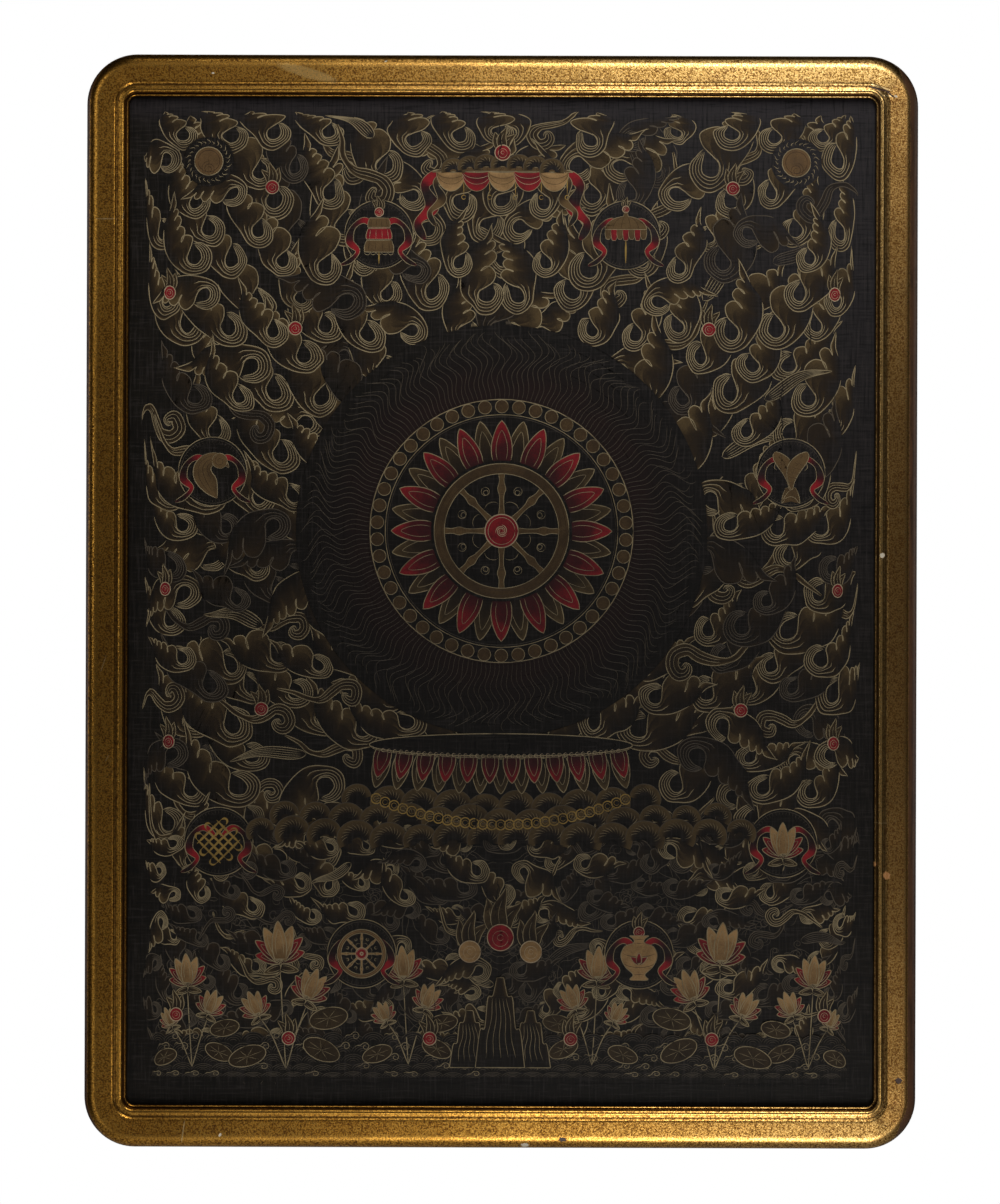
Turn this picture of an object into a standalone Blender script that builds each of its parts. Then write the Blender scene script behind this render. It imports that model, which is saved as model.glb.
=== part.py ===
"""A painted cloth scroll, stretched flat behind the sight edge of a gilt wooden frame.

Four lengths of one moulding, mitred and turned through a rounded corner at each end, hold a single
sheet of primed cloth in their rebate. Metres, +Z up, the painting faces -Y. The wall is the plane
y = 0, and the origin is the middle of the top rail's back, where the frame meets the wall.
"""

import math

import bmesh
import bpy
import numpy as np
from mathutils import Matrix, Vector

# Driving dimensions of the frame.
FRAME_WIDTH = 0.706
FRAME_HEIGHT = 0.928
CORNER_RADIUS = 0.043
JOINT_GAP = 0.0003

# The moulding's section: distance in from the outer edge, and height from the wall.
SIGHT_EDGE = 0.036
SIDE_HEIGHT = 0.015
BACK_EASE = 0.001
CROWN = (0.008, 0.0275)
FACE_END = (0.0222, 0.0275)
COVE_RADII = (0.0029, 0.0042)
COVE_END = 300
BEAD_CENTRE = (0.0300, 0.0226)
BEAD_RADIUS = 0.0028
QUIRK_DROP = 0.0022
LIP_RADII = (0.0031, 0.0036)
REBATE_WIDTH = 0.0075
REBATE_DEPTH = 0.012

# The cloth, its clearance in the rebate, and how far it is from flat.
CLOTH_THICKNESS = 0.0012
CLOTH_CLEARANCE = 0.0010
CLOTH_MARGIN = 0.008
SLACK_FADE = 0.070
SLACK_RISE = 0.0004

# Slow ripples in the cloth: waves across the width, waves up the height, phase, share of SLACK_RISE.
RIPPLES = (
    (1.5, 1.0, 0.4, 0.55),
    (3.0, 2.0, 2.1, 0.30),
    (6.0, 0.5, 4.0, 0.20),
)

# Soft upright creases: place across, lowest and highest point, half width, depth.
CREASES = (
    (-0.021, -0.700, -0.625, 0.022, 0.0004),
    (-0.003, -0.760, -0.690, 0.022, 0.0004),
    (-0.056, -0.850, -0.790, 0.022, 0.0003),
    (0.238, -0.360, -0.240, 0.026, 0.0004),
)

# How finely the round stretches and the cloth are divided.
CORNER_STEPS = 8
CLOTH_COLUMNS = 30
CLOTH_ROWS = 40

# The back of a rail is flat from its eased edge to the rebate, and the top rail's has its middle at z = 0.
TOP_EDGE = (BACK_EASE + SIGHT_EDGE - REBATE_WIDTH) / 2
MIDDLE_HEIGHT = TOP_EDGE - FRAME_HEIGHT / 2


def clear_scene():
    for obj in list(bpy.data.objects):
        bpy.data.objects.remove(obj)


def principled(name, colour, roughness, metallic):
    """A plain Principled material."""
    material = bpy.data.materials.new(name)
    material.use_nodes = True
    shader = material.node_tree.nodes["Principled BSDF"]
    shader.inputs["Base Color"].default_value = (*colour, 1.0)
    shader.inputs["Roughness"].default_value = roughness
    shader.inputs["Metallic"].default_value = metallic
    return material


def arc(centre, radii, start, end, steps):
    """Points on an ellipse about centre, from start to end in degrees, both ends included."""
    angles = np.radians(np.linspace(start, end, steps + 1))
    return [
        (centre[0] + radii[0] * math.cos(a), centre[1] + radii[1] * math.sin(a))
        for a in angles
    ]


def moulding_section():
    """The closed section as (distance in from the outer edge, height from the wall)."""
    back = [(BACK_EASE, 0.0), (0.0, BACK_EASE)]
    roll_radii = (CROWN[0], CROWN[1] - SIDE_HEIGHT)
    outer_roll = arc((CROWN[0], SIDE_HEIGHT), roll_radii, 180, 90, 7)
    # The broad face is flat, from the crown to the cove.
    face = [tuple(point) for point in np.linspace(CROWN, FACE_END, 6)[1:-1]]
    cove = arc((FACE_END[0] + COVE_RADII[0], FACE_END[1]), COVE_RADII, 180, COVE_END, 5)
    bead = arc(BEAD_CENTRE, (BEAD_RADIUS, BEAD_RADIUS), 180, 0, 8)
    quirk_foot = BEAD_CENTRE[1] - QUIRK_DROP
    lip_centre = (SIGHT_EDGE - LIP_RADII[0], quirk_foot - LIP_RADII[1])
    lip = arc(lip_centre, LIP_RADII, 90, 0, 4)
    rebate_edge = SIGHT_EDGE - REBATE_WIDTH
    rebate = [
        (SIGHT_EDGE, REBATE_DEPTH),
        (rebate_edge, REBATE_DEPTH),
        (rebate_edge, 0.0),
    ]
    return back + outer_roll + face + cove + bead + lip + rebate


def rail_mesh(name, length, material):
    """Half a rail, open at its middle: a straight run, then half of the rounded corner to the mitre.

    The outer edge lies along local X at z = 0, the sight edge is below it, and the back is at y = 0.
    """
    half_straight = length / 2 - CORNER_RADIUS
    bm = bmesh.new()
    middle = [bm.verts.new((0, -height, -inward)) for inward, height in moulding_section()]
    loop = [bm.edges.new((a, b)) for a, b in zip(middle, middle[1:] + middle[:1])]

    straight = bmesh.ops.extrude_edge_only(bm, edges=loop)["geom"]
    moved = [v for v in straight if isinstance(v, bmesh.types.BMVert)]
    bmesh.ops.translate(bm, verts=moved, vec=(half_straight, 0, 0))

    turned = bmesh.ops.spin(
        bm,
        geom=[e for e in straight if isinstance(e, bmesh.types.BMEdge)],
        cent=(half_straight, 0, -CORNER_RADIUS),
        axis=(0, 1, 0),
        angle=math.radians(45),
        steps=CORNER_STEPS,
    )["geom_last"]

    # The last section lies on the mitre, and steps back from it by half of the joint's gap.
    mitre = [v for v in turned if isinstance(v, bmesh.types.BMVert)]
    back_off = Vector((-1, 0, 1)).normalized() * (JOINT_GAP / 2)
    bmesh.ops.translate(bm, verts=mitre, vec=back_off)
    bmesh.ops.contextual_create(bm, geom=[e for e in turned if isinstance(e, bmesh.types.BMEdge)])
    bmesh.ops.recalc_face_normals(bm, faces=bm.faces)

    mesh = bpy.data.meshes.new(name)
    bm.to_mesh(mesh)
    bm.free()
    mesh.shade_smooth()
    mesh.set_sharp_from_angle(angle=math.radians(35))
    mesh.materials.append(material)
    return mesh


def place_rail(name, mesh, turn, location):
    """A rail object that mirrors its half mesh, turned about Y so that its outer edge faces out."""
    rail = bpy.data.objects.new(name, mesh)
    rail.rotation_euler = (0, math.radians(turn), 0)
    rail.location = location
    mirror = rail.modifiers.new("Other half", "MIRROR")
    mirror.use_axis = (True, False, False)
    mirror.merge_threshold = 0.0001
    return rail


def frame_rails(material):
    """The four rails. Opposite rails share a mesh."""
    short = rail_mesh("short_rail", FRAME_WIDTH, material)
    long = rail_mesh("long_rail", FRAME_HEIGHT, material)
    rails = (
        ("rail_top", short, 0, (0, 0, TOP_EDGE)),
        ("rail_right", long, 90, (FRAME_WIDTH / 2, 0, MIDDLE_HEIGHT)),
        ("rail_bottom", short, 180, (0, 0, TOP_EDGE - FRAME_HEIGHT)),
        ("rail_left", long, -90, (-FRAME_WIDTH / 2, 0, MIDDLE_HEIGHT)),
    )
    return [place_rail(name, mesh, turn, location) for name, mesh, turn, location in rails]


def smooth_step(t):
    t = np.clip(t, 0, 1)
    return t * t * (3 - 2 * t)


def slack(x, z):
    """How far the cloth stands forward of flat at (x, z), as arrays: nothing at its held edge."""
    across = (x + FRAME_WIDTH / 2) / FRAME_WIDTH
    upward = (z - TOP_EDGE + FRAME_HEIGHT) / FRAME_HEIGHT
    rise = np.zeros_like(x)
    for waves_x, waves_z, phase, share in RIPPLES:
        rise += share * SLACK_RISE * np.sin(2 * np.pi * (waves_x * across + waves_z * upward) + phase)
    for place, low, high, half_width, depth in CREASES:
        beyond = np.maximum(low - z, 0) + np.maximum(z - high, 0)
        away = np.hypot(x - place, beyond) / half_width
        rise -= depth * np.exp(-away * away)
    held = SIGHT_EDGE + CLOTH_MARGIN
    inside_x = FRAME_WIDTH / 2 - held - np.abs(x)
    inside_z = FRAME_HEIGHT / 2 - held - np.abs(z - MIDDLE_HEIGHT)
    return rise * smooth_step(np.minimum(inside_x, inside_z) / SLACK_FADE)


def painting_cloth(material):
    """One primed sheet with rounded corners, just behind the ledge of the rebate."""
    inset = SIGHT_EDGE - REBATE_WIDTH + CLOTH_CLEARANCE
    width = FRAME_WIDTH - 2 * inset
    height = FRAME_HEIGHT - 2 * inset
    front = REBATE_DEPTH - JOINT_GAP

    bm = bmesh.new()
    bmesh.ops.create_grid(bm, x_segments=CLOTH_COLUMNS, y_segments=CLOTH_ROWS, size=0.5)
    upright = Matrix.Rotation(math.radians(90), 4, "X") @ Matrix.Diagonal((width, height, 1, 1))
    bmesh.ops.transform(bm, matrix=upright, verts=bm.verts)
    corners = [v for v in bm.verts if len(v.link_edges) == 2]
    bmesh.ops.bevel(
        bm,
        geom=corners,
        offset=CORNER_RADIUS - inset,
        segments=5,
        profile=0.5,
        affect="VERTICES",
    )
    places = np.array([v.co for v in bm.verts])
    rises = slack(places[:, 0], places[:, 2] + MIDDLE_HEIGHT)
    for vert, rise in zip(bm.verts, rises):
        vert.co.y = -rise

    mesh = bpy.data.meshes.new("painting_cloth")
    bm.to_mesh(mesh)
    bm.free()
    mesh.shade_smooth()
    mesh.materials.append(material)
    cloth = bpy.data.objects.new("painting_cloth", mesh)
    cloth.location = (0, -front, MIDDLE_HEIGHT)
    thickness = cloth.modifiers.new("Thickness", "SOLIDIFY")
    thickness.thickness = CLOTH_THICKNESS
    thickness.offset = -1
    return cloth


def build():
    clear_scene()
    gilt_wood = principled("Aged gilding on wood", (0.42, 0.27, 0.09), 0.42, 0.75)
    painted_cloth = principled("Black-ground painted cloth", (0.012, 0.011, 0.012), 0.8, 0.0)
    pieces = bpy.data.collections.new("thangka_scroll_painting")
    bpy.context.scene.collection.children.link(pieces)
    for obj in [painting_cloth(painted_cloth), *frame_rails(gilt_wood)]:
        pieces.objects.link(obj)


build()
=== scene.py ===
# %% [markdown]
# # A painted scroll in a gilt frame
#
# The object is a black-ground painting on primed cloth, stretched flat behind the sight edge of a wooden
# frame whose front is covered with old bronze-gold leaf. This lesson dresses the plain solids of the frame
# and the cloth: a finely swept moulding, a woven ground, and a painting built stroke by stroke. Everything
# is in metres, +Z is up, the painting faces -Y, and the wall would be the plane y = 0.

# %% Load the fixed frame and keep its box
import math

import bpy
import numpy as np
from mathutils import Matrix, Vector


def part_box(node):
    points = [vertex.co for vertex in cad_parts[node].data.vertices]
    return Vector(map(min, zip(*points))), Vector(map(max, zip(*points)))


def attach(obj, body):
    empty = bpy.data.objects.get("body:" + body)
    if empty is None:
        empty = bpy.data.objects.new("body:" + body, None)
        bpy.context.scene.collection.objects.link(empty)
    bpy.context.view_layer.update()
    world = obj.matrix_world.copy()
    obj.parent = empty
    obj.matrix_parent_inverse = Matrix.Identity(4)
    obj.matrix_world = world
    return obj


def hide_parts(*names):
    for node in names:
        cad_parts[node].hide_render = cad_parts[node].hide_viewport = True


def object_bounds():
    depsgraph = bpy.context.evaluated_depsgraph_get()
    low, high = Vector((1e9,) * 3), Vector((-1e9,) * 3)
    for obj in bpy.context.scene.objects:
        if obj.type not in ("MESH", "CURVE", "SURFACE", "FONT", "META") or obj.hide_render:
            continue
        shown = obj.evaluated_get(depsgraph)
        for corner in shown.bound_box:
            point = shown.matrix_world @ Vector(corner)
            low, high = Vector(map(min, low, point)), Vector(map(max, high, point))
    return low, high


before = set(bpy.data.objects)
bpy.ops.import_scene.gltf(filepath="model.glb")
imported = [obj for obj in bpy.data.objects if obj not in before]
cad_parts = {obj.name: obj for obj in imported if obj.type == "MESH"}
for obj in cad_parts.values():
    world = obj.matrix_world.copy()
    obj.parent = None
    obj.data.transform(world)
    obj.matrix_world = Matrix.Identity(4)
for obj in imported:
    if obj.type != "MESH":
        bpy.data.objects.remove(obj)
CAD_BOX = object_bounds()
print("solids:", ", ".join(sorted(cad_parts)))

# %% [markdown]
# ## Sizes
#
# The overall sizes are read from the loaded solids, so the dressed pieces can't drift away from them. The
# moulding is 36 mm wide from its outer edge to its sight edge, and the cloth lies in the rebate behind it.

# %% The frame's sizes, read from the solids
CAD_LOW, CAD_HIGH = CAD_BOX
CLOTH_LOW, CLOTH_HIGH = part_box("painting_cloth")

MM = 0.001
HALF_WIDTH = (CAD_HIGH.x - CAD_LOW.x) / 2
HALF_HEIGHT = (CAD_HIGH.z - CAD_LOW.z) / 2
MIDDLE_Z = (CAD_HIGH.z + CAD_LOW.z) / 2
CORNER_RADIUS = 0.043
SIGHT_EDGE = 0.036
print(f"frame {2 * HALF_WIDTH / MM:.1f} x {2 * HALF_HEIGHT / MM:.1f} mm")
print(f"middle at z = {MIDDLE_Z / MM:.1f} mm")

# %% [markdown]
# ## Small helpers
#
# A finished piece is a mesh made from whole numpy arrays, and its object stays at the origin. The material
# helpers keep each node on one line, so that a finish reads as a short recipe.


# %% Mesh helpers
def new_piece(name, points, faces, material, smooth=True):
    """A mesh object from an (n, 3) array of points and an (m, 3 or 4) array of corner numbers."""
    corners = faces.shape[1]
    mesh = bpy.data.meshes.new(name)
    mesh.vertices.add(len(points))
    mesh.vertices.foreach_set("co", points.astype(np.float32).ravel())
    mesh.loops.add(faces.size)
    mesh.loops.foreach_set("vertex_index", faces.astype(np.int32).ravel())
    mesh.polygons.add(len(faces))
    mesh.polygons.foreach_set("loop_start", np.arange(0, faces.size, corners, dtype=np.int32))
    mesh.update(calc_edges=True)
    if smooth:
        mesh.shade_smooth()
    else:
        mesh.shade_flat()
    mesh.materials.append(material)
    piece = bpy.data.objects.new(name, mesh)
    bpy.context.scene.collection.objects.link(piece)
    return piece


def store(piece, name, values):
    """Stores one number for each point, which the piece's material reads by its name."""
    layer = piece.data.attributes.new(name, "FLOAT", "POINT")
    layer.data.foreach_set("value", np.asarray(values, np.float32).ravel())


def grid_faces(rows, columns, closed_rows=False, closed_columns=False):
    """Corner numbers of the quads between neighbouring points of a grid, row by row."""
    r, c = np.meshgrid(
        np.arange(rows if closed_rows else rows - 1),
        np.arange(columns if closed_columns else columns - 1),
        indexing="ij",
    )
    next_r, next_c = (r + 1) % rows, (c + 1) % columns
    corners = (r * columns + c, r * columns + next_c, next_r * columns + next_c, next_r * columns + c)
    return np.stack([corner.ravel() for corner in corners], axis=1)


def smooth_step(t):
    """0 up to t = 0, 1 from t = 1, and an even S between them: 3 t^2 - 2 t^3."""
    t = np.clip(t, 0, 1)
    return t * t * (3 - 2 * t)


# %% Material helpers
def new_material(name):
    """A new material, as its node tree and its Principled shader."""
    material = bpy.data.materials.new(name)
    material.use_nodes = True
    return material, material.node_tree, material.node_tree.nodes["Principled BSDF"]


def node(tree, kind, inputs=(), **settings):
    """A node. Its inputs are given by number or name, each as a value or as a socket to link."""
    made = tree.nodes.new("ShaderNode" + kind)
    for key, value in settings.items():
        setattr(made, key, value)
    for key, value in dict(inputs).items():
        if isinstance(value, bpy.types.NodeSocket):
            tree.links.new(value, made.inputs[key])
        else:
            made.inputs[key].default_value = value
    return made


def maths(tree, operation, *values):
    """The result of a Math node."""
    return node(tree, "Math", enumerate(values), operation=operation).outputs[0]


def stored(tree, name):
    """The number that the piece's points hold under that name."""
    return node(tree, "Attribute", attribute_name=name).outputs["Fac"]


def place(tree):
    """The point in Object coordinates, in metres."""
    return node(tree, "TexCoord").outputs["Object"]


def axes(tree):
    """The point's X, Y and Z in Object coordinates, each by its name."""
    return node(tree, "SeparateXYZ", {0: place(tree)}).outputs


def from_point(tree, point):
    """The distance from one point, in metres."""
    return node(tree, "VectorMath", {0: place(tree), 1: point}, operation="DISTANCE").outputs["Value"]


def stretched(tree, scale):
    """The point with each axis scaled, for a pattern that is longer one way than the other."""
    return node(tree, "Mapping", {"Vector": place(tree), "Scale": scale}).outputs[0]


def noise(tree, where, scale, detail=2.0, roughness=0.5):
    """Cloudy noise from 0 to 1, with about scale blobs to the metre."""
    inputs = {"Vector": where, "Scale": scale, "Detail": detail, "Roughness": roughness}
    return node(tree, "TexNoise", inputs).outputs["Fac"]


def ramp(tree, value, low, high, to_low=0.0, to_high=1.0):
    """A value eased from low..high to to_low..to_high, and held at both ends."""
    inputs = {0: value, 1: low, 2: high, 3: to_low, 4: to_high}
    return node(tree, "MapRange", inputs, interpolation_type="SMOOTHSTEP").outputs[0]


def mix(tree, share, first, second):
    """A colour share of the way from first to second, each a colour or a socket."""
    made = node(tree, "Mix", data_type="RGBA")
    for key, value in ((0, share), (6, first), (7, second)):
        if isinstance(value, bpy.types.NodeSocket):
            tree.links.new(value, made.inputs[key])
        else:
            made.inputs[key].default_value = value if key == 0 else (*value, 1.0)
    return made.outputs[2]


def bumped(tree, shader, height, distance, strength=1.0):
    """Gives the shader a bump of that height in metres where the value is 1."""
    inputs = {"Height": height, "Distance": distance, "Strength": strength}
    tree.links.new(node(tree, "Bump", inputs).outputs[0], shader.inputs["Normal"])


# %% [markdown]
# ## The gilt moulding
#
# A maker mitres and glues four lengths of wood, then lays gesso, red clay and leaf over the joints, so the
# front shows one unbroken skin. It could be four meshes with seams, but one section carried round a rounded
# rectangle gives that skin at once. A point of the section is (distance in from the outer edge, height from
# the wall). The path gives the outer edge and the direction inwards at each station.

# %% The section's sizes: distances in from the outer edge, and heights from the wall
BACK_EASE = 0.001
SIDE_HEIGHT = 0.015
CROWN = (0.0108, 0.0275)
FACE_END = (0.0241, 0.0275)
SHOULDER_RADIUS = 0.0024
COVE_CENTRE = (0.0271, 0.0277)
COVE_RADII = (0.0016, 0.0014)
BEAD_CENTRE = (0.0307, 0.0250)
BEAD_RADII = (0.0027, 0.0020)
QUIRK = ((0.0336, 0.0214), (0.0339, 0.0204))
LIP_CENTRE = (0.0343, 0.0184)
LIP_RADII = (0.0017, 0.0020)
LIP_FOOT = 0.0145
REBATE_EDGE = 0.0285
REBATE_DEPTH = 0.012
LEDGE_EASE = 0.0003
print(f"sight edge {1000 * SIGHT_EDGE:.0f} mm in, rebate {1000 * REBATE_DEPTH:.0f} mm deep")


# %% The section: an outer roll, a flat face, a narrow cove, a low bead, a quirk and a lip
def arc(centre, radii, start, end, steps):
    """Points on an ellipse about centre, from start to end in degrees, both ends included."""
    a = np.radians(np.linspace(start, end, steps + 1))
    return np.stack([centre[0] + radii[0] * np.cos(a), centre[1] + radii[1] * np.sin(a)], axis=1)


def between(start, end, steps):
    """Points on a straight line, without its two ends."""
    return np.linspace(start, end, steps + 1)[1:-1]


def moulding_front():
    """The gilded part: a quarter ellipse, a straight, arcs for shoulder, cove and bead, and a small lip."""
    roll = arc((CROWN[0], SIDE_HEIGHT), (CROWN[0], CROWN[1] - SIDE_HEIGHT), 180, 90, 14)
    face = between(CROWN, FACE_END, 8)
    shoulder_centre = (FACE_END[0], FACE_END[1] - SHOULDER_RADIUS)
    shoulder = arc(shoulder_centre, (SHOULDER_RADIUS, SHOULDER_RADIUS), 90, 42, 5)
    cove = arc(COVE_CENTRE, COVE_RADII, 240, 300, 4)
    bead = arc(BEAD_CENTRE, BEAD_RADII, 135, 0, 12)
    lip = arc(LIP_CENTRE, LIP_RADII, 90, 0, 5)
    return [roll, face, shoulder, cove, bead, QUIRK, lip]


def moulding_section():
    """The closed section, from the eased back edge over the front to the rebate and across the back."""
    back_edge = arc((BACK_EASE, BACK_EASE), (BACK_EASE, BACK_EASE), 270, 180, 3)
    side = between((0.0, BACK_EASE), (0.0, SIDE_HEIGHT), 5)
    ledge = [
        (SIGHT_EDGE, LIP_FOOT),
        (SIGHT_EDGE, REBATE_DEPTH + LEDGE_EASE),
        (SIGHT_EDGE - LEDGE_EASE, REBATE_DEPTH),
        (SIGHT_EDGE - 0.004, REBATE_DEPTH),
        (REBATE_EDGE, REBATE_DEPTH),
    ]
    rebate = [(REBATE_EDGE, share * REBATE_DEPTH) for share in (2 / 3, 1 / 3, 0)]
    back = between((REBATE_EDGE, 0.0), (BACK_EASE, 0.0), 8)
    return np.concatenate([back_edge, side, *moulding_front(), ledge, rebate, back])


SECTION = moulding_section()
print(f"section: {len(SECTION)} points, {1000 * SECTION[:, 1].max():.1f} mm deep")


# %% The path: stations round the outer edge, closest together in the corners
def frame_path(spacing, corner_steps):
    """Edge points and inward directions as (x, z) about the middle, clockwise as seen from the front."""
    straight_x = HALF_WIDTH - CORNER_RADIUS
    straight_z = HALF_HEIGHT - CORNER_RADIUS
    edges, inwards = [], []
    corners = (
        (1, 1, 90, straight_z),
        (1, -1, 0, straight_x),
        (-1, -1, -90, straight_z),
        (-1, 1, 180, straight_x),
    )
    for sign_x, sign_z, start, half_run in corners:
        a = np.radians(start - np.linspace(0, 90, corner_steps + 1))[:, None]
        outwards = np.hstack([np.cos(a), np.sin(a)])
        round_the_corner = np.array([sign_x * straight_x, sign_z * straight_z]) + CORNER_RADIUS * outwards
        ahead = np.array([outwards[-1, 1], -outwards[-1, 0]])
        last = round_the_corner[-1]
        straight = between(last, last + ahead * 2 * half_run, round(2 * half_run / spacing))
        edges += [round_the_corner, straight]
        inwards += [-outwards, np.tile(-outwards[-1], (len(straight), 1))]
    return np.concatenate(edges), np.concatenate(inwards)


EDGE, INWARDS = frame_path(spacing=0.006, corner_steps=20)
print(f"path: {len(EDGE)} stations")

# %% [markdown]
# Hand-rubbed gesso is never quite even, so the front rises and falls by a tenth of a millimetre along the
# rails. A sum of waves does that, each with a whole number of turns round the frame, so its ends meet.


# %% Sweep the section round the path
WAVER = 0.00006
WAVER_FADE = 0.010


def gesso_waver(stations):
    """The rise of the front at each station: three sines whose waves close round the frame."""
    turn = np.linspace(0, 2 * np.pi, stations, endpoint=False)
    return WAVER * (np.sin(13 * turn) + np.sin(29 * turn + 1.1) + 0.7 * np.sin(61 * turn + 2.3))


def swept_moulding(edge, inwards, section):
    """Point = edge + inwards x distance, at y = -(height + waver). The waver fades out below the lip."""
    distance, height = section.T
    front = smooth_step((height - REBATE_DEPTH) / WAVER_FADE)
    x = edge[:, :1] + inwards[:, :1] * distance
    z = edge[:, 1:] + inwards[:, 1:] * distance + MIDDLE_Z
    y = -(height + gesso_waver(len(edge))[:, None] * front)
    return np.stack([x, y, z], axis=-1).reshape(-1, 3)


def bare_wood(section):
    """1 on the points of the back and of the rebate, which are never gilded, and 0 elsewhere."""
    distance, height = section.T
    on_back = height < BACK_EASE / 2
    in_rebate = (distance > REBATE_EDGE - 0.0001) & (height < REBATE_DEPTH + 0.0001)
    return (on_back | in_rebate).astype(float)


MOULDING_POINTS = swept_moulding(EDGE, INWARDS, SECTION)
print(f"moulding: {len(MOULDING_POINTS)} points")

# %% [markdown]
# ## Old gilding
#
# Bronze-gold leaf over red clay: a metal, but a dull one. Close up it is all specks, where the leaf has worn
# to the clay or the burnisher missed it. The outer side is toned dark brown, and a thin old coat adds a
# whitish shine. The grooves hold dirt and painted shade, the wall under the lip is painted shade, and the
# gold is painted warmer and browner where the light is dim, as painted shade. It could be a painted texture,
# but the leaf changes with the section, so one shader does it all, steered by how far in from the outer edge
# a point lies.

# %% Knocks and scratches: kind, place across and up from the middle, half length, half width, turn
MARKS = (
    ("rub", -0.165, 0.447, 0.026, 0.0045, -16),
    ("chip", -0.245, 0.4465, 0.0012, 0.0008, 0),
    ("chip", -0.099, 0.457, 0.0012, 0.0007, 20),
    ("scratch", -0.335, 0.323, 0.009, 0.0005, 0),
    ("chip", 0.3226, 0.040, 0.0022, 0.0022, 0),
    ("clay", 0.327, -0.231, 0.0030, 0.0036, 20),
    ("clay", 0.3175, -0.222, 0.0012, 0.0022, 0),
    ("scratch", 0.3225, -0.1866, 0.0062, 0.0004, 0),
    ("chip", 0.0215, -0.4605, 0.0034, 0.0020, 0),
    ("dent", 0.0535, -0.4552, 0.0032, 0.0020, 0),
    ("dent", 0.3378, -0.4046, 0.0030, 0.0026, 0),
    ("scratch", -0.3364, -0.0536, 0.0075, 0.0004, 72),
    ("scratch", -0.333, -0.1335, 0.0030, 0.0004, 60),
    ("scratch", -0.2678, -0.4490, 0.0100, 0.0005, 82),
    ("chip", -0.2365, -0.4522, 0.0018, 0.0010, 60),
    ("dent", 0.3195, 0.4345, 0.0100, 0.0008, -16),
    ("dent", 0.3285, 0.4300, 0.0050, 0.0006, -38),
    ("scratch", 0.3205, 0.4362, 0.0100, 0.0006, -17),
    ("scratch", 0.3265, 0.4290, 0.0050, 0.0006, -8),
    ("scratch", 0.3205, 0.4300, 0.0045, 0.0005, -55),
    ("chip", 0.3330, 0.4285, 0.0016, 0.0008, -30),
    ("scratch", -0.3205, 0.3270, 0.0050, 0.0005, 80),
)


def mark_masks(tree):
    """For each kind of mark, 1 inside any of its ellipses and 0 outside, with a ragged edge."""
    ragged = maths(tree, "MULTIPLY", noise(tree, place(tree), 900), 0.9)
    masks = {}
    for kind, x, z, half_length, half_width, turn in MARKS:
        fitted = node(
            tree,
            "Mapping",
            {
                "Vector": place(tree),
                "Location": (x, 0, z + MIDDLE_Z),
                "Rotation": (0, -math.radians(turn), 0),
                "Scale": (half_length, 1, half_width),
            },
            vector_type="TEXTURE",
        ).outputs[0]
        flat = node(tree, "VectorMath", {0: fitted, 1: (1, 0, 1)}, operation="MULTIPLY").outputs[0]
        away = node(tree, "VectorMath", {0: flat}, operation="LENGTH").outputs["Value"]
        inside = ramp(tree, maths(tree, "ADD", away, ragged), 1.25, 1.55, 1, 0)
        masks[kind] = maths(tree, "MAXIMUM", masks[kind], inside) if kind in masks else inside
    return masks


print(f"marks on the gilding: {len(MARKS)}")


# %% Where a point lies on the frame
CROWN_MM = 9.6
COVE_MM = 27.2
BEAD_MM = 30.7
QUIRK_MM = 34.2


def past_mitre(tree):
    """Metres past the nearest mitre: distance from the top or foot, less distance from the side.

    It is above 0 on the two uprights and below 0 on the other two rails.
    """
    from_side = maths(tree, "SUBTRACT", HALF_WIDTH, maths(tree, "ABSOLUTE", axes(tree)["X"]))
    up = maths(tree, "ABSOLUTE", maths(tree, "SUBTRACT", axes(tree)["Z"], MIDDLE_Z))
    return maths(tree, "SUBTRACT", maths(tree, "SUBTRACT", HALF_HEIGHT, up), from_side)


def near_line(tree, inward, line_mm, full_mm, gone_mm, amount=1.0):
    """The amount near one line of the section, which fades from full_mm to gone_mm on both sides of it."""
    away = maths(tree, "ABSOLUTE", maths(tree, "SUBTRACT", inward, line_mm))
    return ramp(tree, away, full_mm, gone_mm, amount, 0.0)


# %% The leaf: two golds, worn to specks, with painted shade where the light is dim
COLD_LEAF = ((0.61, 0.360, 0.100), (0.70, 0.425, 0.130))
WARM_SHADED_LEAF = ((0.62, 0.275, 0.030), (0.72, 0.335, 0.042))
COLD_FLECK = (1.0, 0.66, 0.26)
WARM_SHADED_FLECK = (1.0, 0.54, 0.10)
RIGHT_FACE_SHADED_LEAF = (0.235, 0.105, 0.022)
RIGHT_FACE_SHADED_FLECK = (0.42, 0.20, 0.040)
DARK_SPECK = (0.13, 0.050, 0.008)
CLAY_SPECK = (0.13, 0.045, 0.012)


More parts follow.
